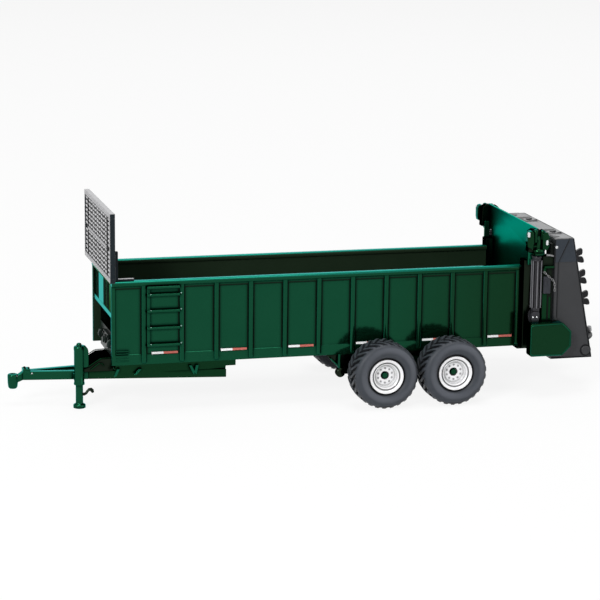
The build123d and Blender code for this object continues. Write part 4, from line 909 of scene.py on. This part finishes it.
# ---------------------------------------- Beaters
# Two upright rotors moulded with forked knives on a core, and a throwing disc with blades at the
# foot. Each knife ends in two blunt claws with a narrow gap between them.
# The beaters darken near inner corners, a painted shade.
beater_grey = finish_of("beater_plastic", (0.010, 0.0105, 0.012), (0.020, 0.021, 0.024), 0.38, specular=0.2,
                        corner=1.0)
tip_grey = finish_of("tip_grey", (0.30, 0.30, 0.31), (0.42, 0.42, 0.43), 0.4)
lean, foot_x, foot_z, beater_len = radians(9.9), 88.6, 13.2, 39.589
knife_foot, knife_pitch, knife_half = 4.0, 3.65, 0.6
knife_turns = (55, 90, 90, 0, 90, 0, 90, 0)      # degrees about the shaft, from the lowest knife up
blade_foot, blade_half, tip_out = 3.1, 0.4, 8.1
lift = Vector((-sin(lean), 0, cos(lean)))
spread = Vector((cos(lean), 0, sin(lean)))
knife = ((1.7, 1.1), (4.9, 1.1), (6.3, 1.3), (7.3, 2.0), (8.3, 2.4), (9.1, 2.45), (9.3, 1.9), (9.2, 1.0),
         (8.9, 0.35), (7.4, 0.08))      # (distance from the core's middle, half height) of one claw
knife += tuple((r, -h) for r, h in reversed(knife))
tilted = Matrix((spread.cross(lift), lift, spread)).transposed()


def outward(turn):
    """The direction square to a beater's shaft at a turn about it."""
    return spread * cos(turn) + Vector((0, 1, 0)) * sin(turn)


for side, out in sides:
    foot = Vector((foot_x, out * beater_y, foot_z))
    shape = bmesh.new()
    turned(shape, [(-1.0, 0), (-1.0, 1.1), (1.3, 1.1), (1.3, 1.7), (1.5, 1.9), (beater_len - 4.1, 1.9),
                   (beater_len - 3.9, 1.7), (beater_len - 3.9, 1.1), (beater_len + 0.2, 1.1),
                   (beater_len + 0.4, 0.9), (beater_len + 0.4, 0)], foot, 32, tilted)
    turned(shape, [(2.4, 0), (2.4, 8.3), (2.55, 8.5), (3.05, 8.5), (3.2, 8.3), (3.2, 0)], foot, 64, tilted)
    for level, turn in enumerate(knife_turns):
        height = knife_foot + knife_pitch * level
        reach = outward(radians(turn))
        across = lift.cross(reach) * knife_half
        middle = foot + lift * height
        for way in (-1, 1):
            ring = [middle + reach * (way * r) + lift * h for r, h in knife]
            skin(shape, [[p - across for p in ring], [p + across for p in ring]])
    for turn in (0, 90, 180, 270):
        reach = outward(radians(turn))
        across = lift.cross(reach) * blade_half
        base = foot + lift * blade_foot
        outline = [(1.8, 0), (8.0, 0), (8.0, 1.9), (1.8, 1.9)]
        skin(shape, [[base + reach * r + lift * h - across for r, h in outline],
                     [base + reach * r + lift * h + across for r, h in outline]])
    made(f"beater_{side}_rotor", shape, beater_grey, f"beater_{side}", 0.12, 2, 40,
         replaced=[f"beater_{side}"])
    shape = bmesh.new()
    for turn in (0, 180):
        tip = foot + lift * (blade_foot + 0.05) + outward(radians(turn)) * tip_out
        rod(shape, [tip, tip + lift * 0.25, tip + lift * 1.7, tip + lift * 1.95], (0.6, 0.85, 0.85, 0.5), 16)
    made(f"beater_{side}_tips", shape, tip_grey, f"beater_{side}", sharp=50)

# ---------------------------------------- Floor and light
# A wide pale floor that takes the model's soft shadow, four studio lamps and a white surround that
# only the camera, reflections and clear things see at full strength.


def rays_of(tree, first, *others):
    """One for the light's rays of any of these kinds, and nought for the rest."""
    seen = add_node(tree, "LightPath").outputs
    found = seen[first]
    for kind in others:
        found = add_node(tree, "Math", fed={0: found, 1: seen[kind]}, operation="MAXIMUM").outputs[0]
    return found


floor_mesh = bpy.data.meshes.new("floor")
reach = 8.0
floor_mesh.from_pydata([(-reach, -reach, 0), (reach, -reach, 0), (reach, reach, 0), (-reach, reach, 0)],
                       [], [(0, 1, 2, 3)])
floor = bpy.data.objects.new("floor", floor_mesh)
collection.objects.link(floor)
pale = bpy.data.materials.new("pale_floor")
pale.use_nodes = True
tree = pale.node_tree
tree.nodes.clear()
glow_share = 0.88                      # the rest shows the shadow
straight = rays_of(tree, "Is Camera Ray", "Is Glossy Ray")
share = add_node(tree, "Math", {1: glow_share}, {0: straight}, operation="MULTIPLY")
matt = add_node(tree, "BsdfDiffuse", {"Color": (0.9, 0.9, 0.9, 1)})
glow = add_node(tree, "Emission")
mix = add_node(tree, "MixShader", fed={"Fac": share.outputs[0], 1: matt.outputs[0], 2: glow.outputs[0]})
add_node(tree, "OutputMaterial", fed={"Surface": mix.outputs[0]})
floor_mesh.materials.append(pale)

world = bpy.data.worlds.new("surround")
bpy.context.scene.world = world
world.use_nodes = True
tree = world.node_tree
tree.nodes.clear()
dim = add_node(tree, "Background", {"Color": (1, 1, 1, 1), "Strength": 0.28})
white = add_node(tree, "Background", {"Color": (1, 1, 1, 1), "Strength": 1.0})
direct = rays_of(tree, "Is Camera Ray", "Is Glossy Ray", "Is Transmission Ray")
mix = add_node(tree, "MixShader", fed={"Fac": direct, 1: dim.outputs[0], 2: white.outputs[0]})
add_node(tree, "OutputWorld", fed={"Surface": mix.outputs[0]})

for name, place, size, power in (
    ("key", (-0.70, -0.80, 0.60), 0.35, 9),
    ("fill", (0.9, -0.8, 0.5), 0.8, 2),
    ("top", (0.0, -0.1, 1.2), 0.6, 6),
    ("back", (0.3, 0.9, 0.8), 0.8, 2),
):
    lamp = bpy.data.lights.new(name, "AREA")
    lamp.size = size
    lamp.energy = power
    light = bpy.data.objects.new(name, lamp)
    light.location = place
    light.rotation_euler = (Vector((0, 0, 0.03)) - Vector(place)).to_track_quat("-Z", "Y").to_euler()
    collection.objects.link(light)

# ---------------------------------------- Camera
# Stands a little in front of the model's left side and looks slightly down along it, through a long
# lens.
azimuth, elevation, roll = radians(14.664), radians(12.280), radians(0.629)
ahead = Vector((sin(azimuth) * cos(elevation), cos(azimuth) * cos(elevation), -sin(elevation)))
right = Vector((cos(azimuth), -sin(azimuth), 0))
up = right.cross(ahead)
right, up = cos(roll) * right + sin(roll) * up, cos(roll) * up - sin(roll) * right
lens = bpy.data.cameras.new("camera")
lens.lens = 143.256
lens.sensor_width = 36
lens.clip_start = 0.01
camera = bpy.data.objects.new("camera", lens)
stands_at = (-0.19517, -0.74113, 0.19702)
camera.matrix_world = Matrix.Translation(stands_at) @ Matrix((right, up, -ahead)).transposed().to_4x4()
collection.objects.link(camera)
bpy.context.scene.camera = camera
bpy.context.scene.view_settings.view_transform = "Standard"
